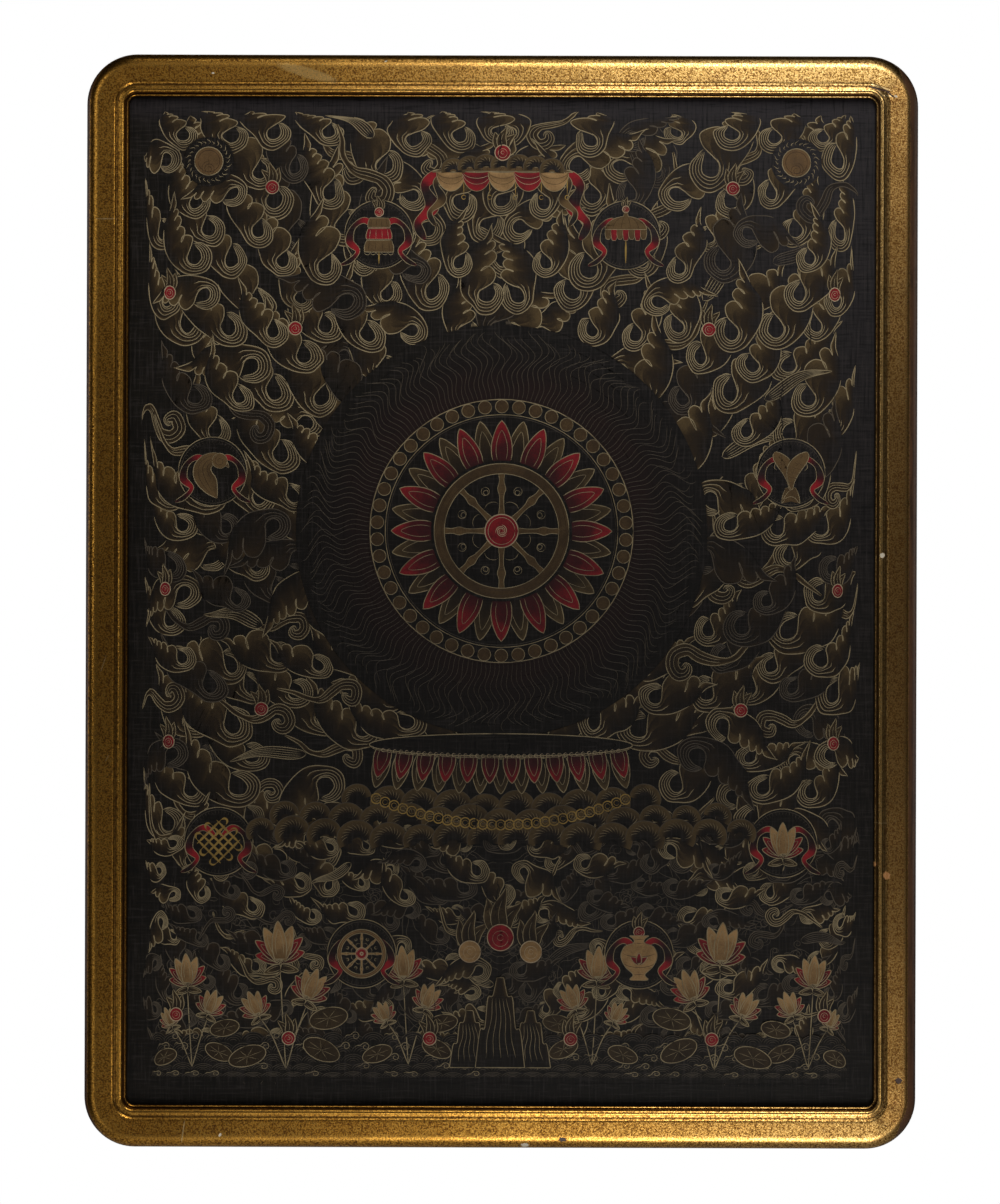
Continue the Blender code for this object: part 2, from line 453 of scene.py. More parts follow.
def worn_leaf(tree, inward, upright, fine, patches):
    """The leaf and its bright flecks: two golds in clouds, then dark and bright specks by fine noise.

    The gold is painted warmer and browner at the left and low down, where x + z / 4 is least, as painted
    shade of the dimly lit side. The right rail's broad face is painted browner still, as painted shade.
    """
    # Painted shade: the gold is warmer and browner at the left and low down, where the light is dim.
    lowness = maths(tree, "MULTIPLY", maths(tree, "SUBTRACT", axes(tree)["Z"], MIDDLE_Z), 0.25)
    dim_side_warmth = ramp(tree, maths(tree, "ADD", axes(tree)["X"], lowness), -0.20, 0.42, 1.0, 0.0)
    clouds = ramp(tree, patches, 0.35, 0.65)
    leaf = mix(tree, dim_side_warmth, mix(tree, clouds, *COLD_LEAF), mix(tree, clouds, *WARM_SHADED_LEAF))
    fleck = mix(tree, dim_side_warmth, COLD_FLECK, WARM_SHADED_FLECK)
    # Painted shade: the right rail's broad face is painted brown.
    right_face_shade = maths(tree, "MULTIPLY", upright, ramp(tree, axes(tree)["X"], 0.28, 0.32, 0.0, 0.6))
    right_face_shade = maths(tree, "MULTIPLY", right_face_shade, ramp(tree, inward, 24.0, 26.5, 1.0, 0.0))
    leaf = mix(tree, right_face_shade, leaf, RIGHT_FACE_SHADED_LEAF)
    fleck = mix(tree, right_face_shade, fleck, RIGHT_FACE_SHADED_FLECK)
    leaf = mix(tree, ramp(tree, fine, 0.36, 0.54, 0.95, 0.0), leaf, DARK_SPECK)
    return mix(tree, ramp(tree, fine, 0.50, 0.64, 0.0, 0.85), leaf, fleck), fleck


# %% Dirt and painted shade in the grooves and under the lip, and the toned outer side
DIRT_AND_SHADE = (0.045, 0.018, 0.004)
TONING = ((0.115, 0.050, 0.026), (0.052, 0.026, 0.017))


def groove_dirt_and_shade(tree, inward):
    """How much dirt and painted shade is in the cove and the quirk by the bead, and painted shade under the
    lip.
    """
    # Dirt and painted shade darken the cove and the quirk.
    cove = near_line(tree, inward, COVE_MM, 0.3, 2.0, 0.7)
    quirk = near_line(tree, inward, QUIRK_MM, 0.4, 0.9, 0.9)
    # Painted shade: the wall below the sight edge is darkened nearly to black.
    under_lip = ramp(tree, inward, 35.7, 36.0, 0.0, 0.97)
    return maths(tree, "MAXIMUM", maths(tree, "MAXIMUM", cove, quirk), under_lip)


def toned_side(tree, inward, upright, coarse):
    """1 on the toned outer side, which reaches 1.2 mm in, with a ragged edge.

    It reaches further in on the uprights, and furthest on the right one: 4.6 mm more, and 6.5 mm a metre.
    """
    reach = maths(tree, "ADD", 4.6, maths(tree, "MULTIPLY", axes(tree)["X"], 6.5))
    reach = maths(tree, "ADD", 1.2, maths(tree, "MULTIPLY", upright, reach))
    reach = maths(tree, "ADD", reach, maths(tree, "MULTIPLY", maths(tree, "SUBTRACT", coarse, 0.5), 2.0))
    return ramp(tree, maths(tree, "SUBTRACT", inward, reach), -0.9, 0.7, 0.93, 0.0)


# %% The marks' colours, and the bare wood of the back
RUB = (1.0, 0.66, 0.24)
SCRATCH = (1.0, 0.72, 0.34)
DENT = (0.060, 0.022, 0.010)
BARED_CLAY = (0.40, 0.18, 0.055)
BARED_GESSO = (0.75, 0.66, 0.50)
WOOD = ((0.27, 0.165, 0.085), (0.15, 0.085, 0.042))
STAINED_WOOD = (0.09, 0.055, 0.032)
GLUE = (0.020, 0.012, 0.008)


def marked(tree, colour, marks):
    """The colour with the marks over it, the deepest last."""
    colour = mix(tree, maths(tree, "MULTIPLY", marks["rub"], 0.45), colour, RUB)
    colour = mix(tree, maths(tree, "MULTIPLY", marks["scratch"], 0.75), colour, SCRATCH)
    colour = mix(tree, marks["dent"], colour, DENT)
    colour = mix(tree, marks["clay"], colour, BARED_CLAY)
    return mix(tree, marks["chip"], colour, BARED_GESSO)


def wood_colour(tree, patches):
    """Bare wood, with the grain along each rail and a dark line where the mitre is glued."""
    across = noise(tree, stretched(tree, (6, 90, 170)), 1, 4, 0.6)
    upwards = noise(tree, stretched(tree, (170, 90, 6)), 1, 4, 0.6)
    uprights = maths(tree, "GREATER_THAN", past_mitre(tree), 0.0)
    grain = node(tree, "Mix", {0: uprights, 2: across, 3: upwards}, data_type="FLOAT").outputs[0]
    wood = mix(tree, ramp(tree, grain, 0.35, 0.7), *WOOD)
    wood = mix(tree, ramp(tree, patches, 0.45, 0.75, 0.0, 0.5), wood, STAINED_WOOD)
    glue_line = ramp(tree, maths(tree, "ABSOLUTE", past_mitre(tree)), 0.0003, 0.0007, 0.85, 0.0)
    return mix(tree, glue_line, wood, GLUE)


# %% The whole finish
def gilding():
    """Leaf, burnished where proud, then dirt and painted shade in grooves, toning, marks, bare wood at the
    back.
    """
    material, tree, shader = new_material("Old bronze-gold leaf")
    inward = stored(tree, "inward_mm")
    upright = ramp(tree, past_mitre(tree), -0.012, 0.012)
    fine = noise(tree, place(tree), 700, 2, 0.65)
    coarse = noise(tree, place(tree), 300, 3, 0.65)
    patches = noise(tree, place(tree), 16, 4, 0.6)
    along = noise(tree, stretched(tree, (1, 1, 0.12)), 260, 3, 0.6)
    marks = mark_masks(tree)

    leaf, fleck = worn_leaf(tree, inward, upright, fine, patches)
    leaf = mix(tree, ramp(tree, coarse, 0.54, 0.68, 0.0, 0.6), leaf, CLAY_SPECK)
    crown = near_line(tree, inward, CROWN_MM, 1.2, 3.2)
    bead = near_line(tree, inward, BEAD_MM, 1.2, 2.6)
    proud = maths(tree, "MAXIMUM", crown, bead)
    leaf = mix(tree, maths(tree, "MULTIPLY", proud, 0.18), leaf, fleck)
    leaf = mix(tree, groove_dirt_and_shade(tree, inward), leaf, DIRT_AND_SHADE)
    toned = toned_side(tree, inward, upright, coarse)
    colour = mix(tree, toned, leaf, mix(tree, ramp(tree, along, 0.4, 0.7), *TONING))
    is_wood = ramp(tree, stored(tree, "bare_wood"), 0.45, 0.55)
    colour = mix(tree, is_wood, marked(tree, colour, marks), wood_colour(tree, patches))
    tree.links.new(colour, shader.inputs["Base Color"])

    # Leaf is metal. Clay, chips, dents and wood aren't.
    dull = maths(tree, "MAXIMUM", maths(tree, "MULTIPLY", toned, 0.8), is_wood)
    for kind in ("chip", "clay", "dent"):
        dull = maths(tree, "MAXIMUM", dull, marks[kind])
    tree.links.new(maths(tree, "SUBTRACT", 1, dull), shader.inputs["Metallic"])
    rough = maths(tree, "ADD", ramp(tree, fine, 0.3, 0.7, 0.37, 0.27), maths(tree, "MULTIPLY", dull, 0.15))
    rough = maths(tree, "SUBTRACT", rough, maths(tree, "MULTIPLY", proud, 0.02))
    tree.links.new(rough, shader.inputs["Roughness"])
    shader.inputs["Coat Weight"].default_value = 0.10
    shader.inputs["Coat Roughness"].default_value = 0.45
    height = maths(tree, "ADD", maths(tree, "MULTIPLY", fine, 0.4), patches)
    height = maths(tree, "SUBTRACT", height, maths(tree, "MULTIPLY", marks["dent"], 2.0))
    bumped(tree, shader, height, 0.00012)
    return material


# %% The gilt moulding
gilt_moulding = new_piece(
    "gilt_moulding",
    MOULDING_POINTS,
    grid_faces(len(EDGE), len(SECTION), closed_rows=True, closed_columns=True),
    gilding(),
)
gilt_moulding.data.set_sharp_from_angle(angle=math.radians(38))
store(gilt_moulding, "inward_mm", np.tile(1000 * SECTION[:, 0], len(EDGE)))
store(gilt_moulding, "bare_wood", np.tile(bare_wood(SECTION), len(EDGE)))
print(f"gilt moulding: {2 * len(gilt_moulding.data.polygons)} triangles")

# %% [markdown]
# ## The cloth
#
# The painting is on one sheet of cotton, sized and primed until it is nearly smooth, and stretched flat. A
# cloth simulation would add nothing to a stretched sheet, so it is a grid whose points keep the solid's
# slow ripples and its few soft creases. The square grid is bent to rounded corners by pulling each row in
# as it nears an end.

# %% How far the cloth is from flat
SLACK_FADE = 0.070
SLACK_RISE = 0.0004
CLOTH_MARGIN = 0.008
HELD_WIDTH = SIGHT_EDGE + CLOTH_MARGIN

# Ripples: waves across the width, waves up the height, phase, share of SLACK_RISE.
RIPPLES = (
    (1.5, 1.0, 0.4, 0.55),
    (3.0, 2.0, 2.1, 0.30),
    (6.0, 0.5, 4.0, 0.20),
)

# Upright creases: place across, lowest and highest point from the middle, half width, depth.
CREASES = (
    (-0.021, -0.251, -0.176, 0.022, 0.0004),
    (-0.003, -0.311, -0.241, 0.022, 0.0004),
    (-0.056, -0.401, -0.341, 0.022, 0.0003),
    (0.238, 0.089, 0.209, 0.026, 0.0004),
)


def slack(x, z):
    """How far the cloth stands forward of flat at (x, z) about the middle.

    The ripples are sines across and up the frame, each crease is a soft trough, and both die away to
    nothing at the held edge.
    """
    across = x / (2 * HALF_WIDTH) + 0.5
    upward = z / (2 * HALF_HEIGHT) + 0.5
    rise = np.zeros_like(x)
    for waves_x, waves_z, phase, share in RIPPLES:
        rise += share * SLACK_RISE * np.sin(2 * np.pi * (waves_x * across + waves_z * upward) + phase)
    for crease_x, low, high, half_width, depth in CREASES:
        beyond = np.maximum(low - z, 0) + np.maximum(z - high, 0)
        away = np.hypot(x - crease_x, beyond) / half_width
        rise -= depth * np.exp(-away * away)
    inside = np.minimum(HALF_WIDTH - HELD_WIDTH - np.abs(x), HALF_HEIGHT - HELD_WIDTH - np.abs(z))
    return rise * smooth_step(inside / SLACK_FADE)


print(f"ripples: {len(RIPPLES)}, creases: {len(CREASES)}, up to {1000 * SLACK_RISE:.1f} mm")

# %% The sheet's size and its grid, front and back
CLOTH_HALF_WIDTH = (CLOTH_HIGH.x - CLOTH_LOW.x) / 2
CLOTH_HALF_HEIGHT = (CLOTH_HIGH.z - CLOTH_LOW.z) / 2
CLOTH_CORNER = 0.0135
CLOTH_FRONT = 0.0117
CLOTH_THICKNESS = 0.0012
CLOTH_COLUMNS = 83
CLOTH_ROWS = 111


def rounded_grid(half_width, half_height, radius, columns, rows):
    """A grid over a rectangle, whose rows near each end are shortened along the corner's circle."""
    z = np.linspace(-half_height, half_height, rows)
    into_corner = np.clip(np.abs(z) - (half_height - radius), 0, radius)
    pulled_in = radius - np.sqrt(radius**2 - into_corner**2)
    x = np.linspace(-1, 1, columns)[None, :] * (half_width - pulled_in)[:, None]
    return x, np.repeat(z[:, None], columns, axis=1)


def closed_sheet(x, z, front, thickness):
    """Points and faces of a sheet: its front at y = -front, its back one thickness behind, and its rim."""
    rows, columns = x.shape
    places = [np.stack([x, -y, z + MIDDLE_Z], axis=-1).reshape(-1, 3) for y in (front, front - thickness)]
    faces = grid_faces(rows, columns)
    numbers = np.arange(rows * columns).reshape(rows, columns)
    rim = np.concatenate([numbers[0], numbers[1:, -1], numbers[-1, -2::-1], numbers[-2:0:-1, 0]])
    ahead = np.roll(rim, -1)
    count = rows * columns
    rim_faces = np.stack([rim, rim + count, ahead + count, ahead], axis=1)
    return np.concatenate(places), np.concatenate([faces, faces[:, ::-1] + count, rim_faces])


cloth_x, cloth_z = rounded_grid(CLOTH_HALF_WIDTH, CLOTH_HALF_HEIGHT, CLOTH_CORNER, CLOTH_COLUMNS, CLOTH_ROWS)
cloth_front = CLOTH_FRONT + slack(cloth_x, cloth_z)
sheet_points, sheet_faces = closed_sheet(cloth_x, cloth_z, cloth_front, CLOTH_THICKNESS)
print(f"cloth: {2000 * CLOTH_HALF_WIDTH:.0f} x {2000 * CLOTH_HALF_HEIGHT:.0f} mm, {len(sheet_faces)} faces")

# %% [markdown]
# ### The black ground
#
# The ground is lamp black and chalk in glue, rubbed smooth, so it is matt and never quite black. A painted
# sheen makes it lightest and most violet at the top and the upper right; it is darker in the lower half, as
# painted shade of light from above, and darkest round the low middle. It could be one dark colour, but then a
# close view shows nothing, so threads streak it both ways and the weave stands up as a faint bump. The paints
# take the same painted shade and cracks, so those two steps are helpers of their own.

# %% The colour of the ground
WARM_BLACK = ((0.0074, 0.0054, 0.0029), (0.0114, 0.0087, 0.0052))
VIOLET_SHEEN_BLACK = (0.0260, 0.0225, 0.0245)
TOP_SHEEN_BLACK = (0.0420, 0.0350, 0.0400)
DEEP_BLACK = (0.0040, 0.0032, 0.0022)
LIGHT_THREAD = (0.0420, 0.0345, 0.0320)
DARK_THREAD = (0.0036, 0.0032, 0.0028)
TOP_MARGIN = MIDDLE_Z + 0.40


def ground_colour(tree):
    """Charcoal in soft clouds, deeper round the middle, with painted sheen that makes it more violet with x +
    z and lighter in the top margin.

    Two noises, each stretched along one way of the weave, streak it with light and dark threads.
    """
    clouds = noise(tree, place(tree), 7, 5, 0.6)
    ground = mix(tree, ramp(tree, clouds, 0.35, 0.7), *WARM_BLACK)
    # Painted sheen: more violet and lighter towards the upper right.
    corner = maths(tree, "ADD", axes(tree)["X"], axes(tree)["Z"])
    ground = mix(tree, ramp(tree, corner, -0.45, 0.35, 0.0, 0.9), ground, VIOLET_SHEEN_BLACK)
    from_middle = from_point(tree, (0, 0, MIDDLE_Z))
    ground = mix(tree, ramp(tree, from_middle, 0.16, 0.34, 0.45, 0.0), ground, DEEP_BLACK)
    # Painted sheen: lighter in the top margin.
    in_margin = ramp(tree, axes(tree)["Z"], TOP_MARGIN, TOP_MARGIN + 0.025, 0.0, 0.5)
    ground = mix(tree, in_margin, ground, TOP_SHEEN_BLACK)
    for streaks in ((30, 1, 520), (520, 1, 30)):
        threads = noise(tree, stretched(tree, streaks), 1, 3, 0.7)
        ground = mix(tree, ramp(tree, threads, 0.50, 0.68, 0.0, 0.5), ground, LIGHT_THREAD)
        ground = mix(tree, ramp(tree, threads, 0.50, 0.30, 0.0, 0.85), ground, DARK_THREAD)
    return ground


# %% Painted shade low down, and cracks. Each crack: place across and up from the middle, half length
CRACKS = (
    (-0.021, -0.187, 0.022),
    (-0.003, -0.251, 0.024),
    (-0.056, -0.353, 0.016),
    (0.238, 0.159, 0.055),
    (-0.003, 0.390, 0.026),
    (0.262, 0.226, 0.018),
)
# One dark colour for the painted shade low down and for the cracks.
SHADE_AND_CRACK_DARK = (0.0030, 0.0026, 0.0024)


def shaded_low(tree, colour):
    """The colour, darker in the lower half as painted shade of light from above, and darker once more
    round a point below the middle.
    """
    # Painted shade: the lower half is darker because the light falls from above.
    lower_half = ramp(tree, axes(tree)["Z"], MIDDLE_Z + 0.30, MIDDLE_Z - 0.05, 0.0, 0.30)
    low_middle = ramp(tree, from_point(tree, (0, 0, MIDDLE_Z - 0.12)), 0.14, 0.36, 0.20, 0.0)
    return mix(tree, maths(tree, "ADD", lower_half, low_middle), colour, SHADE_AND_CRACK_DARK)


def cracked(tree, colour):
    """The colour with dark upright cracks, each about a millimetre wide with soft sides.

    A crack wanders about its place by a noise, and it narrows evenly to nothing at both ends.
    """
    wander = maths(tree, "SUBTRACT", noise(tree, place(tree), 60, 4, 0.7), 0.5)
    wander = maths(tree, "MULTIPLY", wander, 0.012)
    across = maths(tree, "ADD", axes(tree)["X"], wander)
    depth = 0.0
    for x, z, half_length in CRACKS:
        beside = maths(tree, "ABSOLUTE", maths(tree, "SUBTRACT", across, x))
        along = maths(tree, "ABSOLUTE", maths(tree, "SUBTRACT", axes(tree)["Z"], z + MIDDLE_Z))
        narrowed = maths(tree, "MULTIPLY", along, 0.0006 / half_length)
        crack = ramp(tree, maths(tree, "ADD", beside, narrowed), 0.0004, 0.0008, 0.85, 0.0)
        depth = maths(tree, "MAXIMUM", depth, crack)
    return mix(tree, depth, colour, SHADE_AND_CRACK_DARK)


print(f"cracks: {len(CRACKS)}")

# %% The weave, the matt surface and the whole ground
THREAD_PITCH = 0.00055
WEAVE_BUMP = 0.00003


def weave(tree):
    """Threads both ways as a height: the product of two sines of x and of z, with slubs along the rows."""
    threads = []
    for axis in ("X", "Z"):
        wobble = maths(tree, "MULTIPLY", noise(tree, place(tree), 90), 3.0)
        turn = maths(tree, "MULTIPLY", axes(tree)[axis], 2 * math.pi / THREAD_PITCH)
        threads.append(maths(tree, "SINE", maths(tree, "ADD", turn, wobble)))
    slubs = noise(tree, stretched(tree, (30, 1, 900)), 1, 3, 0.6)
    product = maths(tree, "MULTIPLY", threads[0], threads[1])
    return maths(tree, "ADD", maths(tree, "MULTIPLY", product, 0.4), slubs)


def matt(shader):
    """Glue-bound paint hardly shines, so it is rough, with about a quarter of the usual reflection."""
    shader.inputs["Roughness"].default_value = 0.52
    shader.inputs["Specular IOR Level"].default_value = 0.14


def ground_and_reverse():
    """The ground with its painted sheen, painted shade and cracks over the weave, on both faces of the sheet.
    """
    material, tree, shader = new_material("Primed black ground")
    # Painted shade: the ground is darker in the lower half.
    tree.links.new(cracked(tree, shaded_low(tree, ground_colour(tree))), shader.inputs["Base Color"])
    matt(shader)
    bumped(tree, shader, weave(tree), WEAVE_BUMP, 0.6)
    return material


painted_scroll = new_piece("painted_scroll", sheet_points, sheet_faces, ground_and_reverse())
print(f"threads: {MM / THREAD_PITCH:.1f} to the millimetre")

# %% [markdown]
# ## The painting, stroke by stroke
#
# On the real cloth every line is a brush stroke of mineral colour with fine gold, standing a hair above the
# ground, and washes fade from an outline into the black. An image would give that flatly. Here each stroke
# is a low ribbon and each wash or solid colour is a thin leaf of paint, so both catch the light and can be
# seen from close by. The design is traditional ornament: a wheel on a lotus, the eight lucky signs, jewels,
# clouds, flames and waves. It is laid out in mirrored halves, in millimetres about the middle.
#
# The painter works from back to front, so what is nearer hides what is behind. A chart with cells of half a
# millimetre keeps, for each cell, the number of the nearest shape and how many leaves of paint lie there.

# %% The chart of what covers what
FIELD = np.array([307.0, 418.0])
CELL = 0.5
CHART_HALF = np.array([640, 860])
nearest = np.zeros(2 * CHART_HALF[::-1], np.int32)
leaves = np.zeros(2 * CHART_HALF[::-1], np.int8)


def cells(points):
    """The chart's row and column numbers at some points."""
    column, row = np.clip(np.floor(points / CELL).astype(int) + CHART_HALF, 0, 2 * CHART_HALF - 1).T
    return row, column


def cover(rim, number):
    """Gives the cells inside a closed rim to the shape of that number, one leaf above what they held.

    Each row of cells is crossed by the rim's edges at some columns. A cell is inside where the number of
    crossings to its left is odd.
    """
    x, z = (rim / CELL + CHART_HALF - 0.5).T
    next_x, next_z = np.roll(x, -1), np.roll(z, -1)
    left, low = int(max(x.min(), 1)) - 1, int(max(z.min(), 1)) - 1
    wide = int(min(x.max(), 2 * CHART_HALF[0] - 2)) + 2 - left
    rows = np.arange(low, int(min(z.max(), 2 * CHART_HALF[1] - 2)) + 2)
    if wide < 1 or len(rows) < 1:
        return 0
    crosses = (z[:, None] > rows) != (next_z[:, None] > rows)
    edge, row = np.nonzero(crosses)
    where = x[edge] + (rows[row] - z[edge]) * (next_x[edge] - x[edge]) / (next_z[edge] - z[edge])
    toggles = np.zeros((len(rows), wide + 1), int)
    np.add.at(toggles, (row, np.clip(np.ceil(where).astype(int) - left, 0, wide)), 1)
    inside = np.cumsum(toggles, axis=1)[:, :wide] % 2 == 1
    area = np.s_[low : low + len(rows), left : left + wide]
    if not inside.any():
        return 0
    leaf = leaves[area][inside].max() + 1
    nearest[area][inside] = number
    leaves[area][inside] = leaf
    return leaf


# %% [markdown]
# A motif is a list of items in its own small coordinates. `line` is a stroke with a width and a paint, and
# `fill` is a leaf of paint on a grid of points, with a strength at each point. `draw` places a motif, and
# `draw_pair` places it and its mirror image.

# %% Lines and fills
BRUSH = 0.63
STROKES = {}
LEAVES = {}


def line(points, width=BRUSH, paint="gold"):
    """A stroke along some points, with its full width in millimetres."""
    return "line", np.asarray(points, float), width, paint


def fill(grid, paint, strength=1.0, comb=0.0):
    """A leaf of paint on a grid, with three numbers at each point.

    They are its strength, its share of the way across, and how far it falls away between nested lines.
    """
    share = np.linspace(0, 1, grid.shape[1])[None, :]
    shade = [np.broadcast_to(value, grid.shape[:2]) for value in (strength, share, comb)]
    return "fill", grid, np.stack(shade, axis=-1), paint


def outline(grid):
    """The rim of a grid as one closed stroke."""
    return np.concatenate([grid[:, 0], grid[-1, 1:], grid[-2::-1, -1], grid[0, -2::-1]])


def describe(name, items):
    """Prints how many strokes and leaves of paint a motif has."""
    strokes = sum(item[0] == "line" for item in items)
    print(f"{name}: {strokes} strokes, {len(items) - strokes} leaves")


# %% Place a motif
SQUEEZE = 40.0
shape_number = 0


def squeezed(points):
    """Points near the field's edge, drawn in so that none goes over it.

    Beyond a line 40 mm inside the edge, the excess e becomes 40 tanh(e / 40).
    """
    beyond = np.abs(points) - (FIELD - SQUEEZE)
    drawn_in = FIELD - SQUEEZE + SQUEEZE * np.tanh(beyond / SQUEEZE)
    return np.where(beyond > 0, np.sign(points) * drawn_in, points)


def turning(degrees):
    """The matrix that turns rows of points anticlockwise: (cos, sin) over (-sin, cos)."""
    a = math.radians(degrees)
    return np.array([(math.cos(a), math.sin(a)), (-math.sin(a), math.cos(a))])


def draw(items, x=0.0, z=0.0, turn=0.0, size=1.0, mirrored=False):
    """Turns a motif by that many degrees, scales it, moves it, and mirrors it if asked to.

    A stroke's width grows more slowly than its motif, as size^0.3, because the brush is the same one.
    """
    global shape_number
    shape_number += 1
    flip = np.array([-1.0 if mirrored else 1.0, 1.0])
    for kind, points, amount, paint in items:
        points = squeezed(points @ (turning(turn) * size) + (x, z)) * flip
        if kind == "line":
            STROKES.setdefault(paint, []).append((points, amount * size**0.3, shape_number))
            continue
        shape_number += 1
        leaf = cover(outline(points)[:-1], shape_number)
        if leaf:
            LEAVES.setdefault(paint, []).append((points, amount, leaf))


def draw_pair(items, x, z, turn=0.0, size=1.0):
    """Places a motif at the right and its mirror image at the left."""
    draw(items, x, z, turn, size)
    draw(items, x, z, turn, size, mirrored=True)


# %% Shapes that the motifs share
def through(points, steps=8):
    """A smooth curve through chosen points, with that many steps to each span.

    Each span is a cubic that leaves and arrives parallel to the chord between the neighbours of its ends.
    """
    p = np.asarray(points, float)
    p = np.concatenate([p[:1], p, p[-1:]])
    a, b, c, d = (p[k : len(p) - 3 + k, None] for k in range(4))
    t = np.linspace(0, 1, steps, endpoint=False)[None, :, None]
    squared = (a - 2.5 * b + 2 * c - d / 2) * t**2
    cubed = (1.5 * (b - c) + (d - a) / 2) * t**3
    curve = b + (c - a) * t / 2 + squared + cubed
    return np.concatenate([curve.reshape(-1, 2), p[-2:-1]])


def band(first, last, columns=3):
    """The grid between two edges: point = (1 - s) first + s last."""
    s = np.linspace(0, 1, columns)[None, :, None]
    return first[:, None] * (1 - s) + last[:, None] * s


def circle(radius, x=0.0, z=0.0):
    """A round line, with more points the larger it is: about 4 r^0.6 of them."""
    return arc((x, z), (radius, radius), 0, 360, max(10, int(4 * radius**0.6)))


def disc(radius, x=0.0, z=0.0, stretch=1.0):
    """A round leaf: the grid between its left and right halves."""
    steps = max(8, int(3 * radius**0.6))
    radii = (radius, radius * stretch)
    columns = 3 + 2 * int(radius / 8)
    return band(arc((x, z), radii, 93, 267, steps), arc((x, z), radii, 87, -87, steps), columns)


def ring(inner, outer, columns=3, steps=72):
    """The grid between two circles about the middle."""
    outside = arc((0, 0), (outer, outer), 0, 360, steps)
    inside = arc((0, 0), (inner, inner), 0, 360, steps)
    return band(outside, inside, columns)


def mirrored_shape(right, columns=3):
    """The grid between a right-hand edge and its mirror image."""
    right = np.asarray(right, float)
    return band(right * (-1, 1), right, columns)


def polar(radius, angle):
    """Points at a distance and an angle from the middle: (r cos a, r sin a)."""
    return np.stack([radius * np.cos(angle), radius * np.sin(angle)], axis=1)


def turned(points, degrees):
    """The points, turned anticlockwise about the middle."""
    return points @ turning(degrees)


# %% The same motif again, moved, turned over or in another paint
def moved(items, x=0.0, z=0.0, turn=0.0, size=1.0):
    """The same items, turned, scaled and moved."""
    return [(kind, turned(points * size, turn) + (x, z), *rest) for kind, points, *rest in items]


def flipped(items, across, upward):
    """The same items with each coordinate times 1 or -1."""
    return [(kind, points * (across, upward), *rest) for kind, points, *rest in items]


def all_round(items, count, radius, start=0.0):
    """The items at equal steps round a circle, each with its +z pointing outwards."""
    result = []
    for k in range(count):
        result += moved(moved(items, z=radius), turn=start + 360 * k / count)
    return result


def repainted(items, old, new):
    """The same items with one paint in place of another."""
    return [(kind, points, amount, new if paint == old else paint) for kind, points, amount, paint in items]


def faint(items):
    """The same items with their lines in the faint gold and their leaves at about half strength."""
    faded = []
    for kind, points, amount, paint in items:
        if kind == "line":
            faded.append((kind, points, amount, "dim"))
        else:
            faded.append((kind, points, amount * (0.55, 1, 1), paint))
    return faded


# %% [markdown]
# ### Flames and clouds
#
# Most of the field is one motif, drawn again and again: a hooked flame whose lines nest round a dark eye.
# It is a band between two smooth curves through a few chosen points. Both leave the horn of the hook, one
# outside the eye and one inside it. Then one runs along the low side and the other over two to four lobes,
# and they meet at the tip. The nested lines are shares of the way between the two. A stamp of one flame would
# show as a pattern, so each flame has its own jitter, bend, sway and number of lobes.

# %% The hooked flame
HOOK_OUTSIDE = [(9, 13), (2, 16), (-8, 14), (-15, 6), (-16, -4), (-11, -13), (-1, -17), (12, -17)]
HOOK_INSIDE = [(9, 13), (4, 11), (-2, 8), (-6, 2), (-4, -5), (2, -7), (8, -3), (9, 5)]
LOW_SIDE = [(25, -15), (36, -11), (45, -4), (51, 5), (58, 13), (70, 18)]
STEPS = 8
HOOK_END = STEPS * (len(HOOK_OUTSIDE) - 1)
BANDS = 4


def along_path(points):
    """The distance from the path's start to each of its points."""
    return np.concatenate([[0], np.cumsum(np.hypot(*np.diff(points, axis=0).T))])


def resampled(points, distance, count):
    """Points at equal steps of a distance that is known at each point of the path."""
    even = np.linspace(0, distance[-1], count)
    return np.stack([np.interp(even, distance, points[:, k]) for k in (0, 1)], axis=1)


def jittered(points, amount, rng):
    """Chosen points, each moved by about that much, as no hand sets them twice alike."""
    return np.array(points) + rng.normal(0, amount, (len(points), 2))


def lobes(rng, count):
    """Round lobes along the body, smaller towards the tip, with a deep notch after each."""
    x, points = 10.0, []
    for width in np.linspace(1.3, 0.7, count) * 40 / count:
        rise = width * rng.uniform(0.6, 0.8) + 1
        base = 4 + 0.22 * x
        points += [
            (x - 0.02 * width, base + 0.60 * rise),
            (x + 0.30 * width, base + 1.15 * rise),
            (x + 0.80 * width, base + 1.05 * rise),
            (x + 1.02 * width, base + 0.55 * rise),
            (x + 0.88 * width, base + 0.05 * rise),
        ]
        x += width
    return points + [(x + 4, 19), (62, 19), (70, 18)]


def bent(points, bend, sway=0.0):
    """Turns points about the eye, further the further along they lie, and sways them with a sine."""
    along = np.maximum(points[..., 0], 0) / 80
    a = bend * along**1.3
    x = points[..., 0] * np.cos(a) - points[..., 1] * np.sin(a)
    z = points[..., 0] * np.sin(a) + points[..., 1] * np.cos(a)
    return np.stack([x, z + sway * np.sin(2.5 * np.pi * along)], axis=-1)


def flame_edges(rng, size, bend):
    """Both edges, from the horn round the eye and along the body. They have the same number of points."""
    count = rng.integers(2, 5)
    stretch = np.array([rng.uniform(0.85, 1.15), rng.uniform(0.85, 1.1)])
    sway = rng.uniform(-3, 3)
    outer = through(jittered(HOOK_OUTSIDE + LOW_SIDE, 0.7, rng), STEPS)
    inner = through(jittered(HOOK_INSIDE + lobes(rng, count), 0.3, rng), STEPS)
    low_side = outer[HOOK_END:]
    low_side = resampled(low_side, along_path(low_side), len(inner) - HOOK_END)
    outer = np.concatenate([outer[: HOOK_END + 1], low_side[1:]])
    return [bent(edge * stretch, bend, sway) * size for edge in (outer, inner)]


